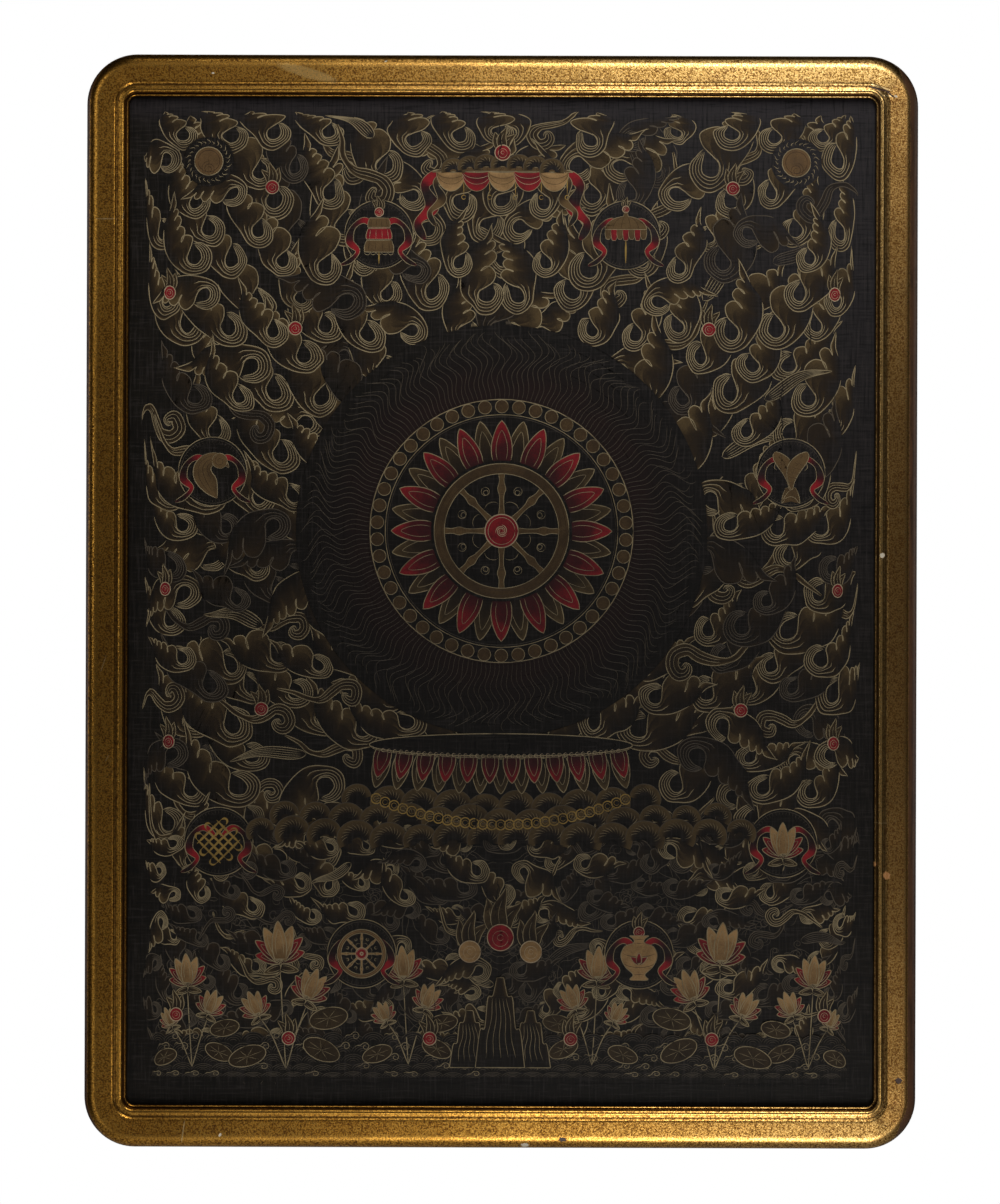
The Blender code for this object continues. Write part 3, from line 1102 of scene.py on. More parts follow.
def hooked_flame(rng, size=1.0, bend=0.5):
    """The dark eye, the leaf of wash, both outlines, and the nested lines, which end along the body."""
    outer, inner = flame_edges(rng, size, bend)
    count = len(inner)
    rows = np.concatenate([np.arange(0, HOOK_END + 1, 4), np.arange(HOOK_END + 3, count - 3, 3), [count - 1]])
    along = rows[:, None] / (count - 1)
    body = smooth_step((rows[:, None] - (HOOK_END - 6)) / 30)
    strength = (1 - body) * 0.9 + body * np.array([0.02, 0.42, 0.95])
    strength = strength + 0.25 * smooth_step((along - 0.75) / 0.25)
    strength = np.clip(strength, 0, 1) * smooth_step((along + 0.02) / 0.08)
    half_hook = HOOK_END // 2
    eye = band(inner[0:half_hook:4], inner[HOOK_END:half_hook:-4])
    leaf = fill(band(outer[rows], inner[rows]), "wash", strength, 1 - body)
    items = [fill(eye, "wash", 0.0), leaf, line(inner[4:], 0.9)]
    items += [line(outer[: int(count * 0.62)], 0.9), line(outer[int(count * 0.8) :], 0.8)]
    for k in range(1, BANDS):
        middle = outer + (inner - outer) * k / BANDS
        items.append(line(middle[4 : int(66 - 5 * k + rng.uniform(0, 12))], 0.75))
    return items


describe("a hooked flame", hooked_flame(np.random.default_rng(0)))


# %% Tongues and fiddleheads, each a band about a middle line
def leftwards(path):
    """The direction to the left of a path at each point: its unit tangent, turned by a quarter turn."""
    tangent = np.gradient(path, axis=0)
    tangent /= np.maximum(np.hypot(*tangent.T), 1e-6)[:, None]
    return np.stack([-tangent[:, 1], tangent[:, 0]], axis=1)


def banded(middle, half, paint, strength, columns=3):
    """A leaf between middle + half x left and middle - half x left, and its grid."""
    offset = half[:, None] * leftwards(middle)
    grid = band(middle + offset, middle - offset, columns)
    return fill(grid, paint, strength), grid


def edged(leaf, grid, width, shares):
    """A leaf with both its edges as lines, and finer lines at those shares of the way across."""
    inner = [grid[2:-3, 0] * (1 - s) + grid[2:-3, -1] * s for s in shares]
    return [leaf, line(grid[:, 0], width), line(grid[:, -1], width)] + [line(edge, 0.6) for edge in inner]


FIDDLEHEAD = [
    (0, 1), (3, 3), (5, 0), (2, -5), (-5, -5), (-10, 2), (-6, 12),
    (5, 14), (17, 8), (30, 1), (46, 2), (60, 9), (78, 12),
]


def fiddlehead(rng, size=1.0, bend=0.4):
    """A tongue that rolls up at its root. Its half width swells in lobes along the tail."""
    middle = bent(through(jittered(FIDDLEHEAD, 0.7, rng), 5), bend) * size
    v = np.linspace(0, 1, len(middle))
    half = size * (0.8 + 4.6 * smooth_step(v / 0.35) * (1 - smooth_step((v - 0.45) / 0.55)))
    half += size * 2.2 * np.abs(np.sin(5 * np.pi * v)) * smooth_step((v - 0.5) / 0.1) * (1 - v) ** 0.4
    leaf, grid = banded(middle, half, "wash", (0.35 + 0.6 * v[:, None]) * np.array([1.0, 0.5, 1.0]))
    inner = [grid[2:-14, 0] * (1 - s) + grid[2:-14, -1] * s for s in (0.3, 0.62)]
    return edged(leaf, grid, 0.8, ()) + [line(edge, 0.6) for edge in inner]


def tongue(rng, length=80.0, width=8.0):
    """A long leaf-shaped lick of flame: lines side by side that sway together from root to tip."""
    v = np.linspace(0, 1, 30)
    sway = rng.uniform(5, 9) * np.sin(np.pi * (1.5 * v + rng.uniform(-0.2, 0.2))) * v
    middle = np.stack([length * v, sway], axis=1)
    half = width * np.sin(np.pi * v**0.62) ** 0.8 * (1 - 0.25 * v) + 0.15
    leaf, grid = banded(middle, half, "wash", (0.2 + 0.7 * v[:, None]) * np.array([1.0, 0.45, 1.0]))
    return edged(leaf, grid, 0.8, (0.22, 0.42, 0.62, 0.82))


describe("a fiddlehead", fiddlehead(np.random.default_rng(0)))
describe("a tongue", tongue(np.random.default_rng(0)))


# %% A curl of thin line, a wisp of them, and a bank of cloud
def curl(radius=6.0, turns=1.3, tail=14.0):
    """A spiral whose radius shrinks evenly with its angle, with a wavy tail."""
    a = np.linspace(0, 2 * np.pi * turns, 40)
    r = radius * (1 - 0.8 * a / a[-1])
    rolled = np.stack([r * np.sin(a), r * np.cos(a) - radius], axis=1)
    x = np.linspace(-tail, 0, 16)
    wave = np.stack([x, 1.6 * np.sin(x * 2 * np.pi / tail) * (-x / tail)], axis=1)
    return np.concatenate([wave[:-1], rolled])


def spiral(radius, turns):
    """A curl without its tail."""
    return curl(radius, turns, 0.5)[15:]


def wisp(rng, size=1.0):
    """A few thin curls that share a root, some turned over."""
    items = []
    for k in range(rng.integers(3, 6)):
        points = curl(rng.uniform(2.6, 5.5), rng.uniform(0.8, 1.5), rng.uniform(9, 22))
        points = turned(points * (1, rng.choice((-1, 1))), rng.uniform(-50, 60) + 12 * k)
        items.append(line((points + rng.uniform(-8, 8, 2)) * size, rng.uniform(0.4, 0.6), "dim"))
    return items


def cloud_puff(radius=15.0, comb=9):
    """A half-round puff: wash at its rim, and a comb of short bent strokes inside."""
    rim = arc((0, 0), (radius, radius * 0.9), -20, 200, 16)
    inner = arc((0, -radius * 0.15), (radius * 0.25, radius * 0.15), -20, 200, 16)
    strength = np.array([1.0, 0.75, 0.15, 0.0]) * np.ones((17, 1))
    items = [fill(band(rim, inner, 4), "wash", strength), line(rim, 0.6, "dim")]
    for a in np.linspace(10, 170, comb):
        r = np.linspace(0.42, 0.80, 6)[:, None] * radius
        lean = np.radians(a + 14 * np.linspace(-1, 1, 6)[:, None])
        items.append(line(np.hstack([r * np.cos(lean), 0.9 * r * np.sin(lean)]), 0.45))
    return items


describe("a wisp", wisp(np.random.default_rng(0)))
describe("a puff of cloud", cloud_puff())

# %% [markdown]
# ### The wheel, its lotus and its halo
#
# The middle of the painting is an eight-spoked wheel in ochre on a red and black lotus, inside a ring of
# pale beads and a halo of fine wavy rays. All of it repeats round a middle, so each part is one shape that
# is turned by equal steps.

# %% Parts of the wheel
def petal(length, half_width, paint, base=0.25, vein=True):
    """A pointed petal: the half width is a sine bulge, drawn in to a point by (1 - v)^0.55."""
    v = np.linspace(0, 1, 13)
    half = half_width * (0.35 + 0.9 * np.sin(np.pi * (0.12 + 0.62 * v))) * (1 - v) ** 0.55 / 1.05
    right = np.stack([half, length * v], axis=1)
    grid = mirrored_shape(right)
    strength = base + (1 - base) * v[:, None] * np.array([1.0, 0.75, 1.0])
    items = [fill(grid, paint, strength), line(outline(grid), 0.8)]
    if vein:
        inner = right * (0.55, 0.68) + (0, 0.10 * length)
        items.append(line(np.concatenate([inner, (inner * (-1, 1))[::-1]]), 0.5))
    return items


def spoke():
    """One spoke: a baluster whose half width swells twice between the hub and the rim."""
    v = np.linspace(0, 1, 17)
    half = 1.7 + 1.9 * np.exp(-(((v - 0.62) / 0.10) ** 2)) + 1.3 * (2 * v - 1) ** 4
    grid = mirrored_shape(np.stack([half, 13 + 37 * v], axis=1))
    bars = [line([(-2.6, z), (2.6, z)], 0.5, "umber") for z in (31.0, 33.0, 39.0)]
    return [fill(grid, "ochre", 0.8), line(outline(grid), 0.6), *bars]


def bead():
    """An ochre disc with a dotted face."""
    items = [fill(disc(5.6), "ochre", 0.6), line(circle(5.7), 0.55), line(circle(4.1), 0.35, "umber")]
    for a in (0.5, 1.9, 3.3, 4.7, 6.0):
        items.append(line(circle(0.8, 2.5 * math.cos(a), 2.5 * math.sin(a)), 0.35, "umber"))
    return items


def wheel():
    """Eight spokes between a hub and a rim, with scrolls between them, all by equal turns."""
    items = [fill(disc(60), "wash", 0.0)]
    for k in range(8):
        between_spokes = 22.5 + 45 * k
        for side in (1, -1):
            items.append(line(turned(spiral(4.2, 1.2) * (side, 1) + (0, 40), between_spokes), 0.5))
        items.append(line(turned(arc((0, 21), (6.5, 5), 20, 160, 12), between_spokes), 0.5))
    for k in range(8):
        items += moved(spoke(), turn=45 * k)
    items += [fill(ring(49, 57), "ochre", 0.6), line(circle(57.4), 0.8), line(circle(48.8), 0.7)]
    items += [line(circle(r), 0.4, "umber") for r in (51, 55)]
    for k in range(32):
        items.append(line(turned(circle(1.1, 0, 53), 11.25 * k), 0.4, "umber"))
    items += [fill(disc(14), "red", 0.8), line(circle(14.2), 1.1, "pale"), line(circle(11.6), 0.5, "pale")]
    for k in range(3):
        items.append(line(turned(spiral(5.2, 1.0) + (0, 5.2), 120 * k), 0.8, "pale"))
    return items


def wheel_lotus():
    """Sixteen red petals over sixteen dark ones, which show between them."""
    items = all_round(petal(40, 10.5, "wash", 0.1), 16, 55, 11.25)
    return items + all_round(petal(37, 10.5, "red", 0.3), 16, 57)


def halo(rng, inner=112.0, outer=172.0, count=190):
    """A dark red glow that fades outwards, and rays whose angle sways along them, more towards the end."""
    glow = ring(inner - 8, outer + 3, 15, 120)
    items = [fill(glow, "rust", smooth_step(np.linspace(0, 1.1, 15)))]
    r = np.linspace(0, 1, 30)
    for k in range(count):
        length = rng.uniform(0.86, 1.0)
        sway = 0.055 * r * np.sin(2 * np.pi * (1.6 * r + 7 * k / count) + 0.5 * rng.uniform(-1, 1))
        a = 2 * np.pi * k / count + sway
        radius = inner + (outer - inner) * length * r
        items.append(line(polar(radius, a), 0.42, "dim"))
    return items


describe("the wheel", wheel())
describe("its lotus", wheel_lotus())
describe("its halo", halo(np.random.default_rng(0)))


# %% Ribbons, jewels and garlands
def ribbon(points, width=4.0, paint="red"):
    """A silk ribbon through chosen points: its half width thins to both ends, and it darkens at its folds."""
    middle = through(points, 9)
    v = np.linspace(0, 1, len(middle))
    half = width / 2 * (0.25 + np.sin(np.pi * v**0.8) ** 0.6) * (1 + 0.25 * np.sin(5 * np.pi * v))
    strength = (0.55 + 0.45 * np.sin(4 * np.pi * v[:, None])) * np.ones(3)
    leaf, grid = banded(middle, half, paint, strength)
    return edged(leaf, grid, 0.6, ())


def small_flame(length, width):
    """A plain leaf of flame with a line inside it."""
    v = np.linspace(0, 1, 12)
    middle = np.stack([length * v, 0.12 * length * np.sin(1.6 * np.pi * v) * v], axis=1)
    half = width * np.sin(np.pi * v**0.55) ** 0.9 + 0.1
    leaf, grid = banded(middle, half, "wash", (0.4 + 0.6 * v[:, None]) * np.array([1.0, 0.5, 1.0]))
    return edged(leaf, grid, 0.7, ()) + [line(middle[2:-3], 0.5)]


def flaming_jewel(radius=7.0, paint="red"):
    """A round jewel with a bright rim, in a cup of small flames."""
    items = []
    for turn, length in ((62, 26), (118, 26), (90, 32)):
        items += moved(small_flame(length * radius / 9, radius * 0.62), 0, radius * 0.35, turn)
    items += [fill(disc(radius), paint, 0.8), line(circle(radius + 0.3), 0.9, "pale")]
    items.append(line(circle(radius * 0.62, 0, -radius * 0.08), 0.45, "pale"))
    return items + [line(circle(radius * 0.24), 0.45, "pale")]


def garland(start, end, drop, count):
    """Gold chain rings along a sagging curve: z falls by 4 drop v (1 - v)."""
    items = []
    for v in np.linspace(0, 1, count):
        x = start[0] + (end[0] - start[0]) * v
        z = start[1] + (end[1] - start[1]) * v - 4 * drop * v * (1 - v)
        items += [line(circle(4.4, x, z), 1.3, "chain"), line(circle(2.3, x, z), 0.5, "chain")]
    return items


describe("a flaming jewel", flaming_jewel())

# %% [markdown]
# ### The eight lucky signs
#
# They stand for good wishes, and such a scroll often has them at its sides. Each is about 44 mm tall in its
# own coordinates, on a dark round with two loose ribbons. Half a profile and its mirror image make most of
# them, which is how a painter's paper pattern is made too: folded, then pricked through.


# %% The round and the ribbons behind each sign
def sign_ground():
    """A dark round in a double ring, with short rays just inside it."""
    items = [fill(disc(29), "wash", 0.0), line(circle(29.3), 0.75), line(circle(27.2), 0.4, "dim")]
    for k in range(56):
        items.append(line(polar(np.linspace(23.8, 26.6, 4), 2 * np.pi * k / 56), 0.4, "dim"))
    return items


SIDE_RIBBON = [(2, 4), (12, 12), (22, 6), (25, -6), (18, -14), (24, -22), (32, -26)]


def with_ribbons(items):
    """A ribbon through the same points on both sides, and the items over them."""
    right = np.array(SIDE_RIBBON)
    return ribbon(right * (-1, 1), 4.4) + ribbon(right, 4.4) + items


describe("the ground of a sign", with_ribbons(sign_ground()))


# %% The parasol and the two fish
def parasol():
    """A dome that is a quarter ellipse turned over, over seven flaps, on a pole."""
    dome = mirrored_shape(np.concatenate([[(1.2, 21)], arc((0, 4), (18, 12), 84, 4, 12)]))
    items = [line([(0, -24), (0, 6)], 1.6, "chain")]
    for k, x in enumerate(np.linspace(-15, 15, 7)):
        flap = mirrored_shape([(2.6, 6.0), (2.7, 0.0), (1.6, -3.5 - (k % 2))]) + (x, 0)
        items += [fill(flap, "red" if k % 2 else "ochre", 0.8), line(outline(flap), 0.45)]
    items += [fill(dome, "ochre", 0.9), line(outline(dome), 0.6)]
    a = np.linspace(0.1, 1.5, 9)
    for bulge in (-0.62, -0.22, 0.22, 0.62):
        items.append(line(np.stack([bulge * 18 * np.sin(a), 4 + 12 * np.cos(a)], axis=1), 0.5, "umber"))
    return items + moved(flaming_jewel(3.4), 0, 22, 0, 0.8)


def fish():
    """Two fish side by side: a half width that is a sine bulge, about a spine that bends as a sine."""
    v = np.linspace(0, 1, 16)
    half = 6.6 * np.sin(np.pi * v**0.75) ** 0.9 * (1 - 0.45 * v) + 0.9
    spine = 5 * np.sin(np.pi * (v - 0.15))
    down = 19 - 34 * v
    body = band(np.stack([spine - half, down], axis=1), np.stack([spine + half, down], axis=1), 5)
    tail = mirrored_shape([(1.2, -13), (5.5, -19), (7.5, -25), (2.0, -21)])
    items = [fill(tail, "ochre", 0.7), line(outline(tail), 0.6)]
    items += [fill(body, "ochre", 0.95), line(outline(body), 0.65)]
    for row in range(5):
        for x in (-2.4, 1.4):
            scale_x = x + 4.2 * math.sin(0.25 * row + 0.4)
            items.append(line(arc((scale_x, 9 - 4.2 * row), (2.1, 1.8), 190, 350, 6), 0.4, "umber"))
    items += [line(circle(1.1, 1.6, 14.5), 0.5, "umber"), line([(-4, 11), (-6.5, 6), (-4.2, 3)], 0.6)]
    left = moved(items, -6.5, 0, 14)
    return left + flipped(left, -1, 1)


describe("the parasol", parasol())
describe("the two fish", fish())


# %% The vase and the lotus
VASE_PROFILE = [(5, -22), (8, -21), (5, -17), (12, -10), (15.5, -1), (12, 7), (5, 9.5), (4.6, 13), (8.5, 16)]


def vase():
    """A smooth profile and its mirror image, with a jewel in its mouth and three petals on its belly."""
    body = mirrored_shape(through(VASE_PROFILE))
    items = moved(flaming_jewel(5.0), 0, 19, 0, 0.9)
    items += [fill(body, "bright", 0.85), line(outline(body), 0.7)]
    for z, half in ((-17, 4.6), (9.6, 4.4), (13, 4.2)):
        items.append(line([(-half, z), (half, z)], 0.6, "umber"))
    items.append(line(arc((0, 3), (15, 5), 205, 335, 14), 0.55, "umber"))
    items.append(line(arc((0, -6), (14, 5), 200, 340, 14), 0.55, "umber"))
    leaf = petal(9, 2.6, "red", 0.5, False)
    for turn in (-52, 52, 0):
        items += moved(leaf, 0, -7.5, turn)
    return items


def lotus_flower():
    """A stem, four red petals, three bright ones nearer, and two small leaves, all turned about one point."""
    items = [line(through([(0, -24), (2, -16), (0, -8)]), 1.2)]
    for turn, length in ((-78, 18), (78, 18), (-50, 22), (50, 22)):
        items += moved(petal(length, 5.4, "red", 0.25), 0, -9, turn)
    for turn, length in ((-24, 25), (24, 25), (0, 27)):
        items += moved(petal(length, 6.0, "bright", 0.55), 0, -9, turn)
    leaf = petal(13, 3.6, "wash", 0.3)
    return items + moved(leaf, 0, -15, -105) + moved(leaf, 0, -15, 105)


describe("the vase", vase())
describe("the lotus", lotus_flower())


# %% The conch, the knot, the banner and the small wheel
def conch():
    """The grid between an outer and an inner curve, with lines that are shares of the way across."""
    outer = through([(-4, -23), (6, -18), (15, -8), (16, 4), (9, 13), (-2, 16), (-11, 12), (-14, 3)], 6)
    inner = through([(-4, -23), (-4, -14), (-3, -6), (1, 0), (1, 4), (-4, 6), (-9, 5), (-14, 3)], 6)
    shell = band(outer, inner, 5)
    items = [fill(shell, "ochre", np.array([0.95, 1.0, 0.9, 0.75, 0.6])), line(outline(shell), 0.7)]
    for k, s in enumerate((0.25, 0.5, 0.75)):
        items.append(line((outer * (1 - s) + inner * s)[4 + 3 * k :], 0.5, "umber"))
    crown = [fill(disc(6.5, -6, 9), "ochre", 0.9), line(circle(6.6, -6, 9), 0.6)]
    crown.append(line(spiral(4.6, 1.5) + (-6, 13.4), 0.5, "umber"))
    return items + crown


def endless_knot():
    """Five bars each way on a slanted lattice, joined by bows at every edge."""
    pitch, reach = 6.5, 16.0
    items = []
    for k in range(-2, 3):
        bar = np.array([(-reach, pitch * k), (reach, pitch * k)])
        items.append(line(turned(bar, 45), 2.2, "chain"))
        items.append(line(turned(bar[:, ::-1], 45), 2.2, "chain"))
    for k in (-2, 0):
        for quarter in range(4):
            bow = arc((reach, pitch * (k + 0.5)), (4.2, pitch / 2), -90, 90, 10)
            items.append(line(turned(bow, 45 + 90 * quarter), 2.2, "chain"))
    return moved(items, size=0.9)


def banner():
    """Three tiers that widen downwards on a pole, each pleated and scalloped along its foot."""
    items = [line([(0, -25), (0, 20)], 1.6, "chain")]
    for k, (top, low, half) in enumerate(((14, 6, 9.5), (5, -4, 11), (-5, -15, 12.5))):
        tier = mirrored_shape([(half * 0.85, top), (half, (top + low) / 2), (half, low)])
        items += [fill(tier, "red" if k % 2 else "ochre", 0.85), line(outline(tier), 0.6)]
        for x in np.linspace(-0.66, 0.66, 4) * half:
            items.append(line([(x, top - 1), (x * 1.12, low)], 0.45, "pale" if k % 2 else "umber"))
        for x in np.linspace(-0.8, 0.8, 5) * half:
            items.append(line(arc((x, low), (half / 5, 2.4), 180, 360, 6), 0.6))
    return items + moved(flaming_jewel(4.0), 0, 19, 0, 0.9)


def small_wheel():
    """The great wheel at about a third of its size, in the brighter ochre."""
    return repainted(moved(wheel(), size=0.36), "ochre", "bright")


describe("the conch", conch())
describe("the knot", endless_knot())
describe("the banner", banner())

# %% [markdown]
# ### The throne, the water, the plants and the sky
#
# These fill the rest of the field and give it a near and a far: banks of cloud under the throne, waves and
# rocks at the foot, lotus plants before them, and suns and a canopy above. Each is a few rows of one small
# shape, where a row further down is nearer and covers the one behind it.


# %% Clouds, the throne and the waves
def cloud_bank(half_width, rows, rng):
    """Rows of overlapping puffs, each row lower and nearer than the one before."""
    items = []
    for row in range(rows):
        reach = half_width * (1 - 0.10 * (rows - 1 - row) ** 2)
        count = int(reach / 13)
        for k in range(count + 1):
            x = -reach + 2 * reach * k / count
            edge = 1 - (x / reach) ** 2
            puff = cloud_puff(rng.uniform(15, 19) * (0.75 + 0.25 * edge), 10)
            items += moved(puff, x, -14 * row + 8 * (1 - edge) + rng.uniform(-1.5, 1.5), -24 * x / reach)
    return items


def lotus_throne(half_width=112.0):
    """A disc seen almost edge on, over two rows of petals that hang from it."""
    items = []
    for count, z, length, paint in ((13, -12, 30, "wash"), (12, -6, 27, "red")):
        for k in range(count):
            x = -half_width + 2 * half_width * (k + 0.5) / count
            lean = -16 * x / half_width
            hung = z + 5 * (x / half_width) ** 2
            items += moved(petal(length, 8.6, paint, 0.15), x * 0.96, hung, 180 - lean)
    seat = disc(half_width, 0, 0, 0.085)
    items += [fill(seat, "wash", 0.0), line(outline(seat), 0.9)]
    items.append(line(arc((0, -1.5), (half_width * 0.99, half_width * 0.085), 185, 355, 60), 0.5))
    for x in np.linspace(-100, 100, 41):
        items.append(line(circle(1.6, x, -9.5 + 6 * (x / half_width) ** 2), 0.5, "pale"))
    return items


def waves(half_width, rows, rng):
    """Rows of round waves like scales, and a curl of foam here and there."""
    pitch = 17
    items = []
    for row in range(rows):
        for k in range(int(2 * half_width / pitch) + 1):
            x = -half_width + pitch * (k + 0.5 * (row % 2))
            wave = [fill(disc(pitch * 0.62, 0, 0, 0.8), "wash", 0.0)]
            wave += [line(arc((0, 0), (r, r * 0.8), 12, 168, 10), 0.5, "dim") for r in (10.3, 8.0, 5.7, 3.4)]
            items += moved(wave, x, -9 * row + rng.uniform(-1, 1))
            if rng.random() < 0.35:
                items.append(line(turned(curl(3.6, 1.3, 8), rng.uniform(10, 60)) + (x, 9 - 9 * row), 0.6))
    return items


describe("the throne", lotus_throne())
describe("the waves", waves(295, 5, np.random.default_rng(0)))


# %% Rocks and lotus plants
PEAKS = ((-26, 50, 17), (26, 50, 17), (0, 78, 21))


def mountain():
    """Three stepped peaks of rock, with bent strokes down their faces."""
    items = []
    for x, height, half in PEAKS:
        steps = ((0.30, 0.80), (0.5, 0.78), (0.62, 0.45), (0.82, 0.42), (1.0, 0.0))
        right = np.array([(3.0, height)] + [(out * half, up * height) for out, up in steps])
        grid = mirrored_shape(through(right, 4), 9) + (x, 0)
        side = np.abs(np.linspace(-1, 1, 9))
        strength = np.linspace(0.9, 0.1, len(grid))[:, None] * (0.35 + 0.65 * side**2)
        items += [fill(grid, "wash", strength), line(outline(grid), 0.8)]
        z = np.linspace(0.78, 0.12, 9)
        for s in (-0.66, -0.33, 0.0, 0.33, 0.66):
            across = x + s * half * (1 - 0.75 * z) + 0.8 * np.sin(14 * z)
            items.append(line(np.stack([across, height * z], axis=1), 0.45))
    return items


def lotus_plant():
    """Three curved stems, a round floating leaf by each, and a flower on each stem."""
    stems = (((0, 0), (-6, 22), (-14, 44)), ((0, 0), (8, 20), (18, 34)), ((0, 0), (2, 30), (4, 66)))
    items = [line(through(points), 0.9) for points in stems]
    leaf = disc(11, 0, 0, 0.55)
    for x, z, turn in ((-20, 12, 25), (22, 8, -20), (-24, 30, -12)):
        veins = [line([(0, 0), (9 * math.cos(a), 5 * math.sin(a))], 0.4) for a in np.linspace(0.3, 5.9, 7)]
        items += moved([fill(leaf, "wash", 0.55), line(outline(leaf), 0.7), *veins], x, z, turn)
    for (x, z), turn, size in (((-14, 44), 20, 0.62), ((18, 34), -25, 0.5), ((4, 66), -4, 0.8)):
        items += moved(lotus_flower()[1:], x, z + 6 * size, turn, size)
    return items


describe("the rocks", mountain())
describe("a lotus plant", lotus_plant())


# %% Suns and a canopy
def sun():
    """A disc with a dark ring, in a round of short wavy rays."""
    items = [fill(disc(21.5), "wash", 0.0)]
    for k in range(28):
        a = 2 * np.pi * k / 28 + 0.09 * np.sin(np.linspace(0, 5, 6))
        items.append(line(polar(np.linspace(15, 20 if k % 2 else 18, 6), a), 0.7))
    items += [fill(disc(12), "bright", 0.4), line(circle(12.2), 0.8), line(circle(9.4), 0.5, "umber")]
    return items + [line(curl(6.5, 2.2, 0.5)[12:], 0.5, "umber")]


def canopy():
    """A pleated valance that hangs in five swags, under a roll of cloud, with a jewel on top."""
    items = []
    for side in (-1, 1):
        drop = through([(52, 0), (66, -12), (60, -30), (72, -44), (66, -58)]) * (side, 1)
        items += ribbon(drop, 8.0) + ribbon(drop * (0.86, 0.8), 5.0, "ochre")
    for k in range(5):
        x = -44 + 22 * k
        swag = band(arc((x, 0), (12, 1), 180, 360, 12), arc((x, 0), (12.5, 17), 180, 360, 12), 4)
        items.append(fill(swag, "red" if k % 2 else "bright", np.array([0.9, 0.6, 0.75, 0.9])))
        items.append(line(outline(swag), 0.6))
        for share in (0.35, 0.65):
            bow = arc((x, 0), (12.2, 17 * share), 186, 354, 10)
            items.append(line(bow, 0.5, "pale" if k % 2 else "umber"))
        items.append(line([(x + 11, -2), (x + 11, -20)], 0.9, "chain"))
        items.append(line(circle(1.9, x + 11, -22), 0.8, "chain"))
    rail = band(arc((0, -1), (60, 5), 180, 0, 24), arc((0, -1), (60, 1), 180, 0, 24), 3)
    items += [fill(rail, "ochre", 0.85), line(outline(rail), 0.6)]
    for x in np.linspace(-54, 54, 19):
        items.append(line(circle(1.1, x, 2.2 - 2.6 * (x / 60) ** 2), 0.4, "umber"))
    for x in range(-42, 43, 14):
        items += moved(cloud_puff(10.5, 7), x, 5.5 - 0.0022 * x**2)
    return items + moved(flaming_jewel(6.5), 0, 16)


describe("a sun", sun())
describe("the canopy", canopy())

# %% [markdown]
# ### Laying the painting out
#
# Flames come first, on a grid that is jittered and laid in three turns, so that neighbours overlap both
# ways. Each rises and leans away from the wheel, and one in five is faint. Then come the lower scene of water,
# rocks and plants, the jewels, the signs, the wheel with its halo, the throne on its bank of cloud, the
# garland, the canopy and the suns. One random generator with a fixed seed steers it all, so the painting is
# the same every time.

# %% The fields of flame
WHEEL_Z = 60.0


def heading(x, z):
    """The angle of a direction that is partly away from the wheel and partly up, in degrees."""
    away = max(math.hypot(x, z - WHEEL_Z), 1.0)
    return math.degrees(math.atan2(0.5 + 0.4 * (z - WHEEL_Z) / away, 0.15 + 0.75 * x / away))


def any_flame(rng, size):
    """Mostly hooked flames, a few of them turned over, with tongues and fiddleheads among them."""
    size *= rng.uniform(0.75, 1.1)
    chance = rng.random()
    if chance < 0.86:
        items = hooked_flame(rng, size, rng.uniform(0.0, 0.7))
    elif chance < 0.89:
        items = tongue(rng, rng.uniform(60, 90) * size, rng.uniform(6, 9) * size)
    else:
        items = fiddlehead(rng, size, rng.uniform(0.1, 0.6))
    return flipped(items, 1, -1) if rng.random() < 0.2 else items


def flame_field(rng):
    """Flames over the upper field, laid on a jittered grid in three turns."""
    for turn in range(3):
        for row in range(23):
            for column in range(9):
                if (row + 2 * column) % 3 != turn:
                    continue
                x = 38 * (column + 0.5 * (row % 2)) + rng.uniform(-6, 6)
                z = -218 + 28 * row + rng.uniform(-6, 6)
                if math.hypot(x, z - WHEEL_Z) < 150 or x > 290 or z > 402 or (z < -120 and x < 120):
                    continue
                for mirrored in (False, True):
                    angle = heading(x, z) + rng.uniform(-16, 16) - 15
                    flame = any_flame(rng, 0.9)
                    draw(faint(flame) if rng.random() < 0.2 else flame, x, z, angle, 1.0, mirrored)


def lower_field(rng):
    """Small flames and curls among wisps of line."""
    for k in range(60):
        x, z = rng.uniform(6, 296), rng.uniform(-408, -205)
        draw_pair(wisp(rng, 1.1), x, z, rng.uniform(-60, 60))
    for turn in range(2):
        for row in range(9):
            for column in range(11):
                if (row + column) % 2 != turn:
                    continue
                x = 28 * (column + 0.5 * (row % 2)) + rng.uniform(-6, 6)
                z = -372 + 21 * row + rng.uniform(-6, 6)
                for mirrored in (False, True):
                    angle = heading(x, z + 120) + rng.uniform(-40, 40) - 15
                    flame = any_flame(rng, 0.52)
                    draw(faint(flame) if rng.random() < 0.6 else flame, x, z, angle, 1.0, mirrored)


# %% Place the motifs, from back to front
SIGNS = ((105, 312, parasol), (246, 110, fish), (240, -205, lotus_flower), (118, -300, vase))
FACING_SIGNS = ((105, 312, banner), (246, 110, conch), (240, -205, endless_knot), (118, -300, small_wheel))
LOTUS_PLANTS = ((262, -398, 1.15), (78, -395, 1.2), (182, -400, 1.5))
HIGH_JEWELS = ((196, 352), (284, 262), (176, 232), (288, 10), (204, -92), (284, -120))
LOW_JEWELS = ((180, -372), (276, -352), (60, -372))
THREE_JEWELS = ((-26, -298, 9.0, "bright"), (26, -298, 9.0, "bright"), (0, -286, 11.0, "red"))


